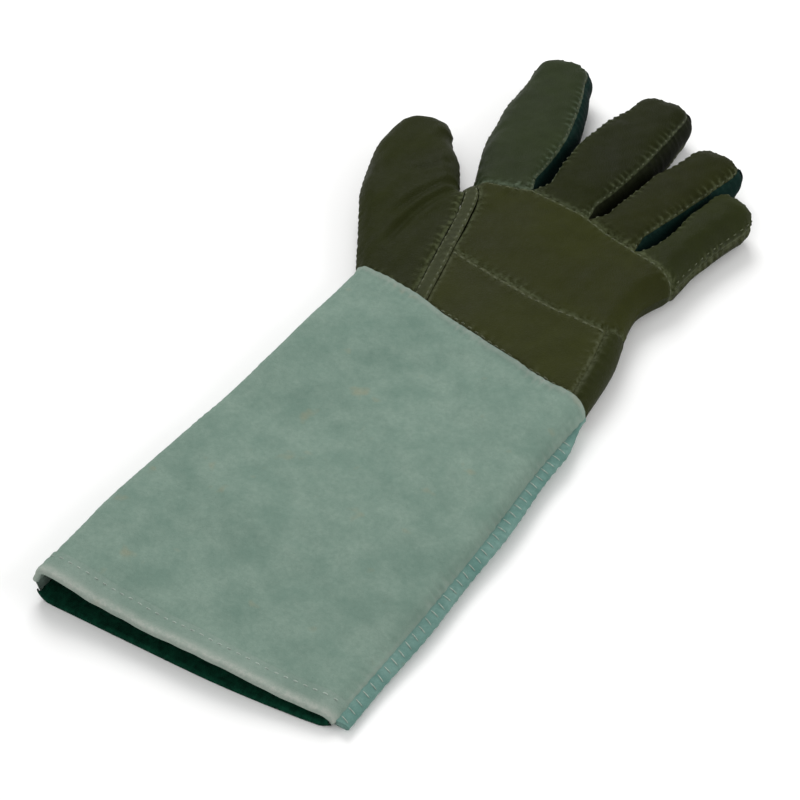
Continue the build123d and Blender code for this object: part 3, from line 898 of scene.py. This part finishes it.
def thread_bar(spot, up, ahead, length, radius, slant, lift):
    """Points of one stitch: a small bar in rings, narrower and lower at both ends."""
    up = up / np.linalg.norm(up)
    way = ahead - up * (ahead @ up)
    way /= max(np.linalg.norm(way), 1e-9)
    turned = way * cos(slant) + np.cross(up, way) * sin(slant)
    side = np.cross(up, turned)
    points = []
    for t in np.linspace(-1, 1, BAR_RINGS):
        size = radius * max(1 - abs(t) ** 3, 0.12) ** 0.5
        centre = spot + turned * (t * length / 2) + up * (lift - radius * 0.9 * t * t)
        for k in range(BAR_SIDES):
            angle = 2 * pi * k / BAR_SIDES
            points.append(centre + side * (size * cos(angle)) + up * (size * 0.8 * sin(angle)))
    return points


def at_places(values, run, places):
    """Points or directions of a path at distances along it."""
    return np.stack([np.interp(places, run, values[:, k]) for k in range(3)], 1)


def stitches(name, path, normals, skin="thread", pitch=PLAIN_PITCH, length=2.9, radius=0.42,
             slant=0.0, lift=0.15):
    """A row of thread stitches along a path in space."""
    steps = np.linalg.norm(np.diff(path, axis=0), axis=1)
    run = np.concatenate([[0], np.cumsum(steps)])
    count = max(int(run[-1] / pitch), 1)
    places = (np.arange(count) + 0.5) * run[-1] / count
    spots = at_places(path, run, places)
    ups = at_places(normals, run, places)
    ahead = at_places(path, run, places + 0.5) - at_places(path, run, places - 0.5)
    points, faces = [], []
    for spot, up, way in zip(spots, ups, ahead):
        faces += tube_faces(BAR_RINGS, BAR_SIDES, len(points))
        points += thread_bar(spot, up, way, length, radius, slant, lift)
    return add_mesh(name, np.array(points), faces, SKINS[skin])


def bend_knuckle(piece, digit):
    """Bakes the piece's transform into its mesh; nothing makes it follow the hand or the finger's
    base segment.
    """
    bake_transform(piece)


def bend_middle(piece, digit):
    """Bakes the piece's transform into its mesh; nothing makes it follow the finger's base or tip
    segment.
    """
    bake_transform(piece)


# ---- fingers ----
def finger_split(digit):
    """Distance from the knuckle where the skin is split between its two folds."""
    return (KNUCKLE_BEND[1] + digit["fold"] - FOLD_BEND) / 2


def lift_tip(grid, digit):
    """Raises a finger gently towards its tip."""
    along = ((grid[..., :2] - digit["root"]) @ digit["ahead"]) / digit["length"]
    grid[..., 2] += TIP_LIFT[digit["name"]] * np.clip(along, 0, 1) ** 2
    return grid


def finger_grid(digit, sign):
    """Grid of a finger's front (sign 1) or back (sign -1) before it is sewn."""
    columns = -np.cos(pi * np.linspace(0, 1, 45))
    rows = np.linspace(0, 1, int(digit["length"] / FINGER_ROW))
    inset = FRONT_INSET if sign > 0 else 0.0
    plan = finger_plan(digit, rows, np.linspace(0, 1, 16) ** 0.85, columns, inset)
    has_gusset = gusset_share(digit["name"], np.array([-1.0, 1.0])) > 0
    on_rim = np.zeros(plan.shape[:2], bool)
    on_rim[:, 0] = sign < 0 or not has_gusset[0]
    on_rim[:, -1] = sign < 0 or not has_gusset[1]
    on_rim[-1] = sign < 0
    top, bottom = hand_height(plan.reshape(-1, 2), on_rim.ravel())
    z = (top if sign > 0 else bottom).reshape(plan.shape[:2])
    if sign > 0:
        crown = CROWN * (1 - columns ** 2)[None, :]
        z = z + crown * np.clip(np.linspace(0, 6, len(plan)), 0, 1)[:, None]
    grid = lift_tip(np.dstack([plan, z]), digit)
    away = np.clip((z - MID) * sign / LUMP_FADE, 0, 1)
    lumps = lumpy(grid, FINGER_LUMPS, 11) * away * (1 if sign > 0 else FINGER_BACK_LUMPS)
    return grid + grid_normals(grid) * lumps[..., None]


def finger_skins(digit):
    """Sewn front and back grids of a finger, with their seam closeness."""
    skins = []
    for sign in (1, -1):
        grid = finger_grid(digit, sign)
        edges = [grid[:, 0], grid[-1], grid[:, -1], grid[0]]
        skins.append(sew(grid, edges, depth=0.8 * sign, pucker=0.5 * sign, plump=0.3 * sign,
                         rib=1.0, seed=21))
    return skins


def split_row(grid, digit):
    """First row of a finger's grid past the place where its skin is split."""
    middle = grid[:, grid.shape[1] // 2, :2]
    along = (middle - digit["root"]) @ digit["ahead"]
    return int(np.argmax(along > finger_split(digit)))


def segments(row):
    """The two parts of a skin that is split at a row."""
    return ("base", slice(0, row + 1)), ("tip", slice(row, None))


def meet_hand(grid, seam, edge, digit, down):
    """Brings a finger's first rows onto the sewn edge of the hand, with a tuck under it."""
    columns = -np.cos(pi * np.linspace(0, 1, grid.shape[1]))
    gap = spaced(edge, (columns + 1) / 2) - grid[0]
    for row, share in enumerate((1.0, 0.7, 0.4, 0.15)):
        grid[row] += gap * share
    tuck = grid[0] - UP * (down * TUCK_DEPTH)
    tuck[:, :2] -= digit["ahead"] * TUCK_LENGTH
    return np.concatenate([tuck[None], grid]), np.concatenate([seam[:1], seam])


def finger_panel(digit, face, grid, seam, outward, material):
    """A finger's front or back, in two pieces split between its two folds."""
    name = digit["name"]
    normals = grid_normals(grid)
    for segment, rows in segments(split_row(grid, digit)):
        piece = panel(f"{name}_{face}_{segment}_leather", grid[rows], outward, LEATHER, material,
                      seam[rows], normals[rows])
        BEND_FINGER[segment](piece, digit)
        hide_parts(f"{name}_{face}_{segment}")


BEND_FINGER = {"base": bend_knuckle, "tip": bend_middle}


def fourchette_edges(digit, front, back, thumb_side):
    """The front and back edges that a fourchette is sewn to, on round the fingertip."""
    half = front.shape[1] // 2
    count = 2 * half if digit["name"] in ("index", "little") else half
    edges = []
    for skin in (front, back):
        facing = skin if thumb_side else skin[:, ::-1]
        edges.append(np.vstack([facing[:, 0], facing[-1, 1:count + 1]]))
    return edges


def fourchette_push(digit, neighbour, middle, tall, height, near_seam):
    """How far a fourchette stands out at each of its points: swell, gathers and web."""
    facing_rim = finger_rim(DIGITS[neighbour], step=1.0)
    gap = np.array([np.linalg.norm(facing_rim - spot, axis=1).min() for spot in middle])
    ahead = (middle - digit["root"]) @ digit["ahead"]
    reach_out = np.clip(gap / 2 - WEB_REACH[0], 0, WEB_REACH[1])
    web = reach_out * (1 - ease((ahead - WEB[0]) / (WEB[1] - WEB[0])))
    free = np.clip(gap / 2 - BULGE_ROOM[0], 0, BULGE_ROOM[1]) / BULGE_ROOM[1]
    belly = np.sin(pi * height)[None, :]
    gathers = np.cos(2 * pi * np.arange(len(middle)) * FINGER_ROW / PUCKER_PITCH)[:, None]
    push = BULGE * belly ** 0.8 * (np.clip(tall, 0, 1) * free)[:, None]
    return push + 0.25 * gathers * near_seam + web[:, None] * belly ** 0.7


def fourchette(digit, neighbour, front, back, thumb_side):
    """The strip sewn between a finger's front and back on one side, round to the tip."""
    name = digit["name"]
    edge_front, edge_back = fourchette_edges(digit, front, back, thumb_side)
    height = np.linspace(0, 1, 11)
    mid = len(height) // 2
    strip = (edge_front[:, None] * (1 - height[None, :, None])
             + edge_back[:, None] * height[None, :, None])
    run = np.gradient(strip[:, mid, :2], axis=0)
    out = np.stack([run[:, 1], -run[:, 0]], 1) * (-1 if thumb_side else 1)
    out /= np.maximum(np.linalg.norm(out, axis=1, keepdims=True), 1e-9)
    tall = np.linalg.norm(edge_front - edge_back, axis=1) / GUSSET
    near_seam = hump(np.minimum(height, 1 - height), 0, 0.16)[None, :]
    push = fourchette_push(digit, neighbour, strip[:, mid, :2], tall, height, near_seam)
    strip[..., :2] += out[:, None, :] * push[..., None]
    normals = grid_normals(strip)
    outward = 1 if (normals[:, mid, :2] * out).sum(1).mean() > 0 else -1
    seam = np.repeat(near_seam, len(strip), 0) * 0.5
    # both fourchette colours carry painted shade
    material = SKINS["olive_gusset_painted_shade" if {name, neighbour} == {"middle", "ring"} else "gusset"]
    for segment, rows in segments(split_row(front, digit)):
        piece = panel(f"{name}_{neighbour}_side_fourchette_{segment}", strip[rows], outward,
                      FOURCHETTE_LEATHER, material, seam[rows], normals[rows])
        BEND_FINGER[segment](piece, digit)
        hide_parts(f"{name}_fourchette_{neighbour}_side_{segment}")


def thread_path(grid, row):
    """Points or normals up one side of a fingertip, across its end and down the other side."""
    column = THREAD_COLUMN
    return np.vstack([grid[row:-3, column], grid[-3, column:-column],
                      grid[row:-3, -1 - column][::-1]])


def finger_thread(digit, front):
    """Stitches over a finger's front seams, in the same two parts as the skin."""
    normals = grid_normals(front)
    row = split_row(front, digit)
    base = slice(3, row + 1)
    left, right = THREAD_COLUMN, -1 - THREAD_COLUMN
    for label, path, up, segment in (
        ("base_stitches_a", front[base, left], normals[base, left], "base"),
        ("base_stitches_b", front[base, right], normals[base, right], "base"),
        ("tip_stitches", thread_path(front, row), thread_path(normals, row), "tip"),
    ):
        piece = stitches(f"{digit['name']}_{label}", path, up, pitch=PUCKER_PITCH, length=2.2,
                         radius=0.32)
        BEND_FINGER[segment](piece, digit)


def build_fingers(palm_edge, back_edge):
    """All four fingers, sewn on to the edges of the palm and of the back."""
    per_finger = (len(palm_edge) - 1) // 4
    first_back = len(back_edge) - len(palm_edge)
    for order, name in enumerate(FINGERS):
        digit = DIGITS[name]
        (front, front_seam), (back, back_seam) = finger_skins(digit)
        start, end = order * per_finger, (order + 1) * per_finger + 1
        behind = back_edge[first_back + start:first_back + end]
        front, front_seam = meet_hand(front, front_seam, palm_edge[start:end], digit, 1)
        back, back_seam = meet_hand(back, back_seam, behind, digit, -1)
        finger_panel(digit, "front", front, front_seam, 1, SKINS[name])
        finger_panel(digit, "back", back, back_seam, -1, SKINS["back"])
        if order > 0:
            fourchette(digit, FINGERS[order - 1], front, back, True)
        if order < 3:
            fourchette(digit, FINGERS[order + 1], front, back, False)
        finger_thread(digit, front)


# ---- hand panels ----
FIRST_COLUMN = (slice(None), 0)
LAST_COLUMN = (slice(None), -1)


def lay(plan, rim_places, layers, seed, back=False):
    """Raises a plan grid to the palm-side or back-side skin, with soft lumps."""
    on_rim = np.zeros(plan.shape[:2], bool)
    for place in rim_places:
        on_rim[place] = True
    top, bottom = hand_height(plan.reshape(-1, 2), on_rim.ravel())
    z = (bottom if back else top).reshape(plan.shape[:2])
    grid = np.dstack([plan, z])
    half = hand_thickness(plan.reshape(-1, 2)).reshape(z.shape) / 2
    away = np.clip(np.abs(z - half) / LUMP_FADE, 0, 1)
    grid[..., 2] += lumpy(grid, layers, seed) * away * (HAND_BACK_LUMPS if back else 1)
    return grid


def hand_panel(name, grid, seam, skin, covers, outward=1):
    """A leather panel that rides on the hand."""
    piece = panel(name, grid, outward, LEATHER, SKINS[skin], seam)
    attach(piece, "hand")
    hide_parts(covers)
    return grid


def eased_out(plan):
    """Moves the palm's columns gently outwards, less and less towards the finger seam."""
    even = np.linspace(0, 1, plan.shape[1])
    eased = 0.5 * even + 0.5 * np.sin(pi / 2 * even)
    fade = 1 - ease(np.linspace(0, 1, len(plan)))
    places = even[None, :] + fade[:, None] * (eased - even)[None, :]
    return np.stack([np.stack([np.interp(place, even, row[:, k]) for k in range(2)], 1)
                     for place, row in zip(places, plan)])


def build_palm():
    """Upper palm, from the wrist band to the fingers."""
    lower = spaced(joined(BAND_SEAM, BAND_CAP), len(FINGER_SEAM))
    left = spaced(between(SEAM_TWO, BAND_LEFT, CROTCH[0]), 70)
    right = spaced(between(HAND_SIDE, SIDE_TOP, CROTCH[4]), 70)
    plan = eased_out(coons(lower, FINGER_SEAM, left, right))
    grid = lay(plan, [LAST_COLUMN], HAND_LUMPS, 41)
    grid, seam = sew(grid, [grid[0], grid[-1], grid[:, 0]], seed=42)
    return hand_panel("palm_panel_leather", grid, seam, "palm", "palm_panel")


def build_band():
    """Wrist band, from the wrist seam to the palm."""
    foot = spaced(between(WRIST_SEAM, SEAM_TWO[0], STRIP_FOOT), 84)
    left = spaced(between(SEAM_TWO, SEAM_TWO[0], BAND_LEFT), 40)
    plan = coons(foot, spaced(BAND_SEAM, 84), left, spaced(STRIP_SEAM, 40))
    grid = lay(plan, [], HAND_LUMPS, 43)
    grid, seam = sew(grid, [grid[0], grid[-1], grid[:, 0], grid[:, -1]], seed=44)
    return hand_panel("wrist_band_leather", grid, seam, "band", "wrist_band_panel")


def build_side_strip():
    """Strip along the little-finger edge, where the back wraps round."""
    shares = crowded(16, low=False)
    foot = spaced(between(WRIST_SEAM, STRIP_FOOT, WRIST_RIGHT), shares)
    right = spaced(between(HAND_SIDE, WRIST_RIGHT, SIDE_TOP), 44)
    plan = coons(foot, spaced(BAND_CAP, shares), spaced(STRIP_SEAM, 44), right)
    grid = lay(plan, [LAST_COLUMN], HAND_LUMPS, 45)
    grid, seam = sew(grid, [grid[0], grid[-1], grid[:, 0]], seed=46)
    hand_panel("side_strip_leather", grid, seam, "back", "side_strip")


def build_welt():
    """The doubled strip between the ball of the thumb and the palm."""
    foot = spaced(between(WRIST_SEAM, SEAM_ONE[0], SEAM_TWO[0]), 13)
    head = spaced([THUMB_CROTCH, CROTCH[0]], 13)
    plan = coons(foot, head, spaced(SEAM_ONE, 95), spaced(SEAM_TWO, 95))
    grid = lay(plan, [], HAND_LUMPS, 47)
    across = np.linspace(-1, 1, len(foot))[None, :]
    grid[..., 2] += WELT_RISE * (1 - across ** 4)
    grid, seam = sew(grid, [grid[:, 0], grid[:, -1]], depth=0.7, width=1.2, pucker=0.3,
                     spread=3.0, plump=0.0, seed=48)
    return hand_panel("thumb_welt_leather", grid, seam, "welt", "thumb_welt")


def build_back():
    """Back of the hand, from the thumb's seam to the little-finger side."""
    web = spaced([THUMB_CROTCH, CROTCH[0]], 9)
    head = joined(web, FINGER_SEAM)
    foot = spaced(between(WRIST_SEAM, SEAM_ONE[0], WRIST_RIGHT), len(head))
    plan = coons(foot, head, spaced(SEAM_ONE, 90), spaced(HAND_SIDE, 90))
    grid = lay(plan, [LAST_COLUMN], HAND_LUMPS, 49, back=True)
    grid, seam = sew(grid, [grid[0], grid[-1], grid[:, 0]], depth=-0.7, pucker=-0.3,
                     plump=-0.1, seed=50)
    return hand_panel("hand_back_leather", grid, seam, "back", "hand_back", -1)


# ---- thumb ----
# each crease is its path in plan and its depth
THUMB_CREASES = (
    ([(-66, 47), (-74, 36), (-79, 20), (-80, 2)], 1.5),
    ([(-62, 40), (-69, 26), (-73, 6), (-72, -20)], 1.5),
    ([(-80, 58), (-88, 46), (-96, 38)], 0.9),
)


def thumb_plan():
    """Plan grid of the thumb, from the wrist over its base fold to its tip, and the fold's row."""
    fold = spaced([THUMB_ELBOW, THUMB_CROTCH], crowded(60))
    wrist = between(WRIST_SEAM, WRIST_LEFT, SEAM_ONE[0])
    foot = (spaced(wrist, crowded(60, high=False)) + spaced(wrist, 60)) / 2
    ball = coons(foot, fold, spaced(WING_OUTER[::-1], 70), spaced(SEAM_ONE, 70))
    thumb = coons(fold, spaced(THUMB_TIP[::-1], 60), spaced(THUMB_OUTER[::-1], 75),
                  spaced(THUMB_INNER, 75))
    return np.vstack([ball, thumb[1:]]), len(ball) - 1


def bend_thumb_fold(piece):
    """Bakes the piece's transform into its mesh; nothing makes it follow the hand or the thumb's
    base segment.
    """
    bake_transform(piece)


def bend_thumb_tip(piece):
    """Bakes the piece's transform into its mesh; nothing makes it follow the thumb's base segment
    or its tip.
    """
    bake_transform(piece)


BEND_THUMB = {"base": bend_thumb_fold, "tip": bend_thumb_tip}


def thumb_skin(plan, fold, back):
    """Sewn front or back grid of the thumb, with its seam closeness."""
    rim_places = [FIRST_COLUMN, (slice(fold, None), -1), -1]
    grid = lay(plan, rim_places, THUMB_LUMPS, 61, back)
    if not back:
        for path, depth in THUMB_CREASES:
            grid = crease(grid, path, depth, CREASE_WIDTH)
    sign = -1 if back else 1
    edges = [grid[:, 0], grid[0], grid[:fold + 1, -1], grid[fold:, -1], grid[-1]]
    return sew(grid, edges, depth=0.8 * sign, pucker=0.45 * sign, plump=0.3 * sign, rib=0.8,
               seed=63)


def build_thumb():
    """Thumb front, with the ball of the thumb, and thumb back."""
    plan, fold = thumb_plan()
    middle = plan[:, plan.shape[1] // 2]
    tip_row = int(np.argmax((middle - THUMB_TIP_JOINT) @ THUMB_AHEAD > THUMB_SPLIT))
    for face, back in (("front", False), ("back", True)):
        grid, seam = thumb_skin(plan, fold, back)
        normals = grid_normals(grid)
        for segment, rows in segments(tip_row):
            piece = panel(f"thumb_{face}_{segment}_leather", grid[rows], -1 if back else 1,
                          LEATHER, SKINS["back" if back else "thumb"], seam[rows], normals[rows])
            BEND_THUMB[segment](piece)
            covers = [f"thumb_{face}_{segment}"]
            if covers == ["thumb_front_base"]:
                covers.append("thumb_ball_panel")
            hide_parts(*covers)


# ---- gauntlet ----
def cuff_plan(rows, columns):
    """Plan grid of the gauntlet, from the wrist seam to its mouth, with slightly wavy sides."""
    shares = crowded(columns) * 0.5 + np.linspace(0, 1, columns) * 0.5
    level = MOUTH_LEFT[1]
    mouth = smooth_curve([MOUTH_LEFT, (-35, level + 1.5), (15, level + 3.5), (52, level + 7.0),
                          MOUTH_RIGHT])
    left = smooth_curve([WRIST_LEFT, (-76.0, -90), (-76.8, -140), (-79.5, -195), (-81.0, -235),
                         MOUTH_LEFT])
    right = smooth_curve([WRIST_RIGHT, (72.0, -110), (74.0, -160), (74.5, -215), MOUTH_RIGHT])
    return coons(spaced(WRIST_SEAM, shares), spaced(mouth, shares), spaced(left, rows),
                 spaced(right, rows))


def cuff_heights(plan):
    """Top and bottom heights of the gauntlet's plan grid, and how far each point is from flat."""
    rows, columns = plan.shape[:2]
    along = np.linspace(0, 1, rows)[:, None]
    across = np.linspace(0, 1, columns)[None, :]
    mouth = np.interp(across, (0.0, 0.5, 1.0), MOUTH_HEIGHT)
    dent = MOUTH_DENT * hump(across, *DENT_PLACE)
    thick = (CUFF_TOP + CUFF_OVERLAP) * (1 - along) + mouth * along - dent * along ** 5
    left = np.linalg.norm(plan - plan[:, :1], axis=2)
    right = np.linalg.norm(plan - plan[:, -1:], axis=2)
    s = np.clip(np.minimum(left, right) / CUFF_ROLL, 0, 1)
    rise = np.sqrt(1 - (1 - s) ** 2)
    return thick / 2 * (1 + rise), thick / 2 * (1 - rise), rise


def bend_wrist(piece):
    """Bakes the piece's transform into its mesh; nothing makes it follow the hand at the wrist seam
    or the gauntlet.
    """
    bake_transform(piece)
def cuff_grids():
    """Sewn top and bottom skins of the gauntlet, with their seam closeness."""
    plan = cuff_plan(170, 130)
    top_z, bottom_z, rise = cuff_heights(plan)
    made = []
    for z, sign, share in ((top_z, 1, CUFF_TOP_LUMPS), (bottom_z, -1, CUFF_BOTTOM_LUMPS)):
        grid = np.dstack([plan, z])
        grid[..., 2] += lumpy(plan, CUFF_LUMPS, 71) * rise ** 2 * share
        edges = [grid[0], grid[:, 0], grid[:, -1]]
        grid, seam = sew(grid, edges, depth=0.8 * sign, pucker=0.4 * sign, spread=6.5,
                         plump=0.4 * sign, seed=74)
        grid[..., 2] = np.maximum(grid[..., 2], 0.0)
        made.append((grid, seam))
    return made


def hem_row(grid):
    """First row of a gauntlet grid that belongs to the hem."""
    middle = grid[:, grid.shape[1] // 2]
    return int(np.argmax(np.linalg.norm(middle - middle[-1], axis=1) < HEM))


def past_mouth(grid):
    """Directions in which a grid's rows run out of the mouth."""
    ahead = grid[-1] - grid[-2]
    return ahead / np.linalg.norm(ahead, axis=1, keepdims=True)


def hem_strip(grid, sign, row, turned):
    """The hem over the panel's edge. A turned one goes round the mouth and back inside."""
    outside = grid[row:]
    normals = grid_normals(grid)[row:] * sign
    rows = [p + n * HEM_GAP for p, n in zip(outside, normals)]
    if not turned:
        return np.array(rows)
    ahead = past_mouth(outside)
    for angle in np.linspace(0, pi, 9)[1:]:
        rows.append(outside[-1] + normals[-1] * (HEM_GAP - HEM_TURN + HEM_TURN * cos(angle))
                    + ahead * (HEM_TURN * sin(angle)))
    for p, n in zip(outside[::-1][1:], normals[::-1][1:]):
        rows.append(p + n * (HEM_GAP - 2 * HEM_TURN))
    return np.array(rows)


def roll_lip(inner, out):
    """Carries the lining out of the mouth and down over the lower lip."""
    ahead = past_mouth(inner)
    turn = (SUEDE + LIP_ROOM) / 2
    lip = [inner[-1] + ahead * (LIP_AHEAD + turn * sin(angle)) + out * (turn - turn * cos(angle))
           for angle in np.linspace(0, pi, 8)]
    return np.concatenate([inner, np.array(lip)])


def cuff_lining(place, grid, normals, outward, row):
    """The lining of one side of the gauntlet. The lower one rolls out over the lip."""
    inner = (grid - normals * outward * (SUEDE + LINING_GAP))[:, 2:-2]
    if place == "top":
        inner = inner[:row + 4]
    else:
        inner = roll_lip(inner, normals[-1, 2:-2] * outward)
    piece = panel(f"cuff_{place}_lining_cloth", inner, outward, CLOTH, SKINS["lining"],
                  inner[..., 0] * 0)
    bend_wrist(piece)
    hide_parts(f"cuff_lining_{place}")


def mouth_hem(place, grid, outward, row):
    """The hem of one side of the mouth. The top one is turned in."""
    strip = hem_strip(grid, outward, row, place == "top")
    # pale band at the lip: painted highlight on the rolled lip, partly wear
    wear_and_highlight = 0.9 * hump(np.linalg.norm(strip - grid[-1], axis=2), 0, 2.6)
    piece = panel(f"mouth_hem_{place}_suede", strip, outward, HEM_SUEDE, SKINS["hem"], wear_and_highlight)
    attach(piece, "gauntlet")
    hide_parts(f"mouth_hem_{place}")


def build_cuff():
    """Gauntlet panels, linings and hems."""
    (top, top_seam), (bottom, bottom_seam) = cuff_grids()
    row = hem_row(top)
    for grid, seam, sign, place in ((top, top_seam, 1, "top"),
                                    (bottom, bottom_seam, -1, "bottom")):
        # rows run towards the mouth here, so grid normals may point inwards
        normals = grid_normals(grid)
        outward = 1 if normals[..., 2].mean() * sign > 0 else -1
        piece = panel(f"cuff_{place}_suede", grid[:row + 2], outward, SUEDE, SKINS["suede"],
                      seam[:row + 2] * CUFF_WEAR_AND_HIGHLIGHT, normals[:row + 2])
        bend_wrist(piece)
        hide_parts(f"cuff_{place}_panel")
        cuff_lining(place, grid, normals, outward, row)
        mouth_hem(place, grid, outward, row)
    return top, bottom, row


def build_binding(top, bottom, around=20):
    """Bound seam allowance along the little-finger side, pinched by its whip stitches."""
    path = spaced((top[:, -1] + bottom[:, -1]) / 2, 480)
    path[:, 2] = np.minimum(path[:, 2], BINDING_TOP)
    places = np.arange(len(path)) * np.linalg.norm(path[-1] - path[0]) / len(path)
    line = np.stack([places, places * 0], -1)
    pinch = np.cos(2 * pi * places / PUCKER_PITCH + 0.8 * ripple(line, 40.0, 81))
    sway = ripple(line, 60.0, 82)
    width = (BINDING_HIGH[0] - MOUTH_HIGH[0]) * ease(places / BINDING_TAPER)
    rings = []
    for angle in np.arange(around) * 2 * pi / around:
        across = 0.5 + 0.5 * np.sign(cos(angle)) * abs(cos(angle)) ** 0.7
        tall = np.sign(sin(angle)) * abs(sin(angle)) ** 0.8
        ring = path.copy()
        ring[:, 0] += across * (width + BINDING_LAP + BINDING_PINCH[0] * pinch
                                + BINDING_SWAY[0] * sway) - BINDING_LAP
        ring[:, 2] += (tall * (BINDING_HALF + BINDING_PINCH[1] * pinch * across)
                       + BINDING_SWAY[1] * sway * across - BINDING_DROP)
        rings.append(ring)
    grid = np.array(rings).transpose(1, 0, 2)
    piece = add_mesh("side_binding_suede", grid.reshape(-1, 3),
                     tube_faces(len(grid), around, flip=True), SKINS["binding"])
    bend_wrist(piece)
    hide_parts("side_binding")
    return grid, float(width.max())


# ---- stitching ----
def hand_threads(palm, band, welt):
    """Rows of stitches on the hand, with the CAD row that each one stands for."""
    every = slice(None)
    for name, grid, place, covers in (
        ("thumb_seam_stitches", welt, (every, 2), ["thumb_seam_stitching"]),
        ("palm_seam_stitches", welt, (every, -3), []),
        ("band_stitches", band, (-3, every), []),
        ("finger_seam_stitches", palm, (-3, every), ["finger_seam_stitching"]),
        ("wrist_seam_stitches", band, (2, every), ["wrist_seam_stitching"]),
    ):
        piece = stitches(name, grid[place], grid_normals(grid)[place])
        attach(piece, "hand")
        for node_name in covers:
            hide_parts(node_name)


def cuff_threads(top, hem_from, binding, width):
    """The rows of stitches at the mouth and along the bound side."""
    path = top[hem_from + 2, 4:-4] + UP * 0.3
    piece = stitches("mouth_stitches", path, np.tile(UP, (len(path), 1)), "pale_thread",
                     length=3.0)
    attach(piece, "gauntlet")
    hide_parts("mouth_stitching")

    path = binding[40:, 5]
    piece = stitches("side_stitches", path, np.tile(UP, (len(path), 1)), "pale_thread",
                     pitch=PUCKER_PITCH, length=width * 0.8, radius=0.3, slant=radians(70),
                     lift=0.05)
    bend_wrist(piece)
    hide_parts("side_stitching")


# ---- stage ----
CAMERA_TURN = 33.0        # degrees round from looking along +Y
CAMERA_RISE = 43.0
CAMERA_AWAY = 1.0825      # metres
CAMERA_LENS = 100.0
CAMERA_AIM = (-0.0136, -0.0927, 0.0)
FLOOR_HALF = 3.0          # metres
FLOOR_TONE = (0.93, 0.93, 0.925, 1)
SKY_LIGHT = 0.62
LAMP_AIM = (0, -0.05, 0)
# each lamp is its place, power and width
LAMPS = {
    "key": ((-0.9, 0.9, 1.5), 22.0, 1.1),
    "side": ((1.5, 0.2, 0.9), 9.0, 0.9),
    "front": ((0.2, -1.6, 1.4), 6.0, 1.2),
}


def build_floor():
    """Pale floor."""
    mesh = bpy.data.meshes.new("floor")
    corners = [(x * FLOOR_HALF, y * FLOOR_HALF, 0) for x, y in ((-1, -1), (1, -1), (1, 1), (-1, 1))]
    mesh.from_pydata(corners, [], [(0, 1, 2, 3)])
    floor = bpy.data.objects.new("floor", mesh)
    bpy.context.collection.objects.link(floor)
    material, _, shader, _ = start_material("studio_floor", 0.85, specular=0.2)
    shader.inputs["Base Color"].default_value = FLOOR_TONE
    mesh.materials.append(material)


def build_lights():
    """Even light from all round and three soft lamps."""
    world = bpy.data.worlds.new("studio")
    bpy.context.scene.world = world
    world.use_nodes = True
    sky = world.node_tree.nodes["Background"]
    sky.inputs[0].default_value = (1, 1, 1, 1)
    sky.inputs[1].default_value = SKY_LIGHT
    for name, (spot, power, width) in LAMPS.items():
        light = bpy.data.lights.new(name, "AREA")
        light.energy = power
        light.size = width
        lamp = bpy.data.objects.new(name, light)
        lamp.location = spot
        aim = Vector(LAMP_AIM) - Vector(spot)
        lamp.rotation_euler = aim.to_track_quat("-Z", "Y").to_euler()
        bpy.context.collection.objects.link(lamp)


def build_camera():
    """The camera, at the photo's angle."""
    lens = bpy.data.cameras.new("camera")
    lens.lens = CAMERA_LENS
    lens.sensor_width = 36.0
    lens.clip_start = 0.01
    camera = bpy.data.objects.new("camera", lens)
    turn, rise = radians(CAMERA_TURN), radians(CAMERA_RISE)
    away = Vector((sin(turn) * cos(rise), -cos(turn) * cos(rise), sin(rise)))
    camera.location = Vector(CAMERA_AIM) + away * CAMERA_AWAY
    camera.rotation_euler = (-away).to_track_quat("-Z", "Y").to_euler()
    bpy.context.collection.objects.link(camera)
    bpy.context.scene.camera = camera
    bpy.context.scene.view_settings.view_transform = "Standard"


palm_grid = build_palm()
band_grid = build_band()
build_side_strip()
welt_grid = build_welt()
back_grid = build_back()
build_fingers(palm_grid[-1], back_grid[-1])
build_thumb()
top_grid, bottom_grid, hem_from = build_cuff()
binding_grid, binding_width = build_binding(top_grid, bottom_grid)
hand_threads(palm_grid, band_grid, welt_grid)
cuff_threads(top_grid, hem_from, binding_grid, binding_width)
build_floor()
build_lights()
build_camera()
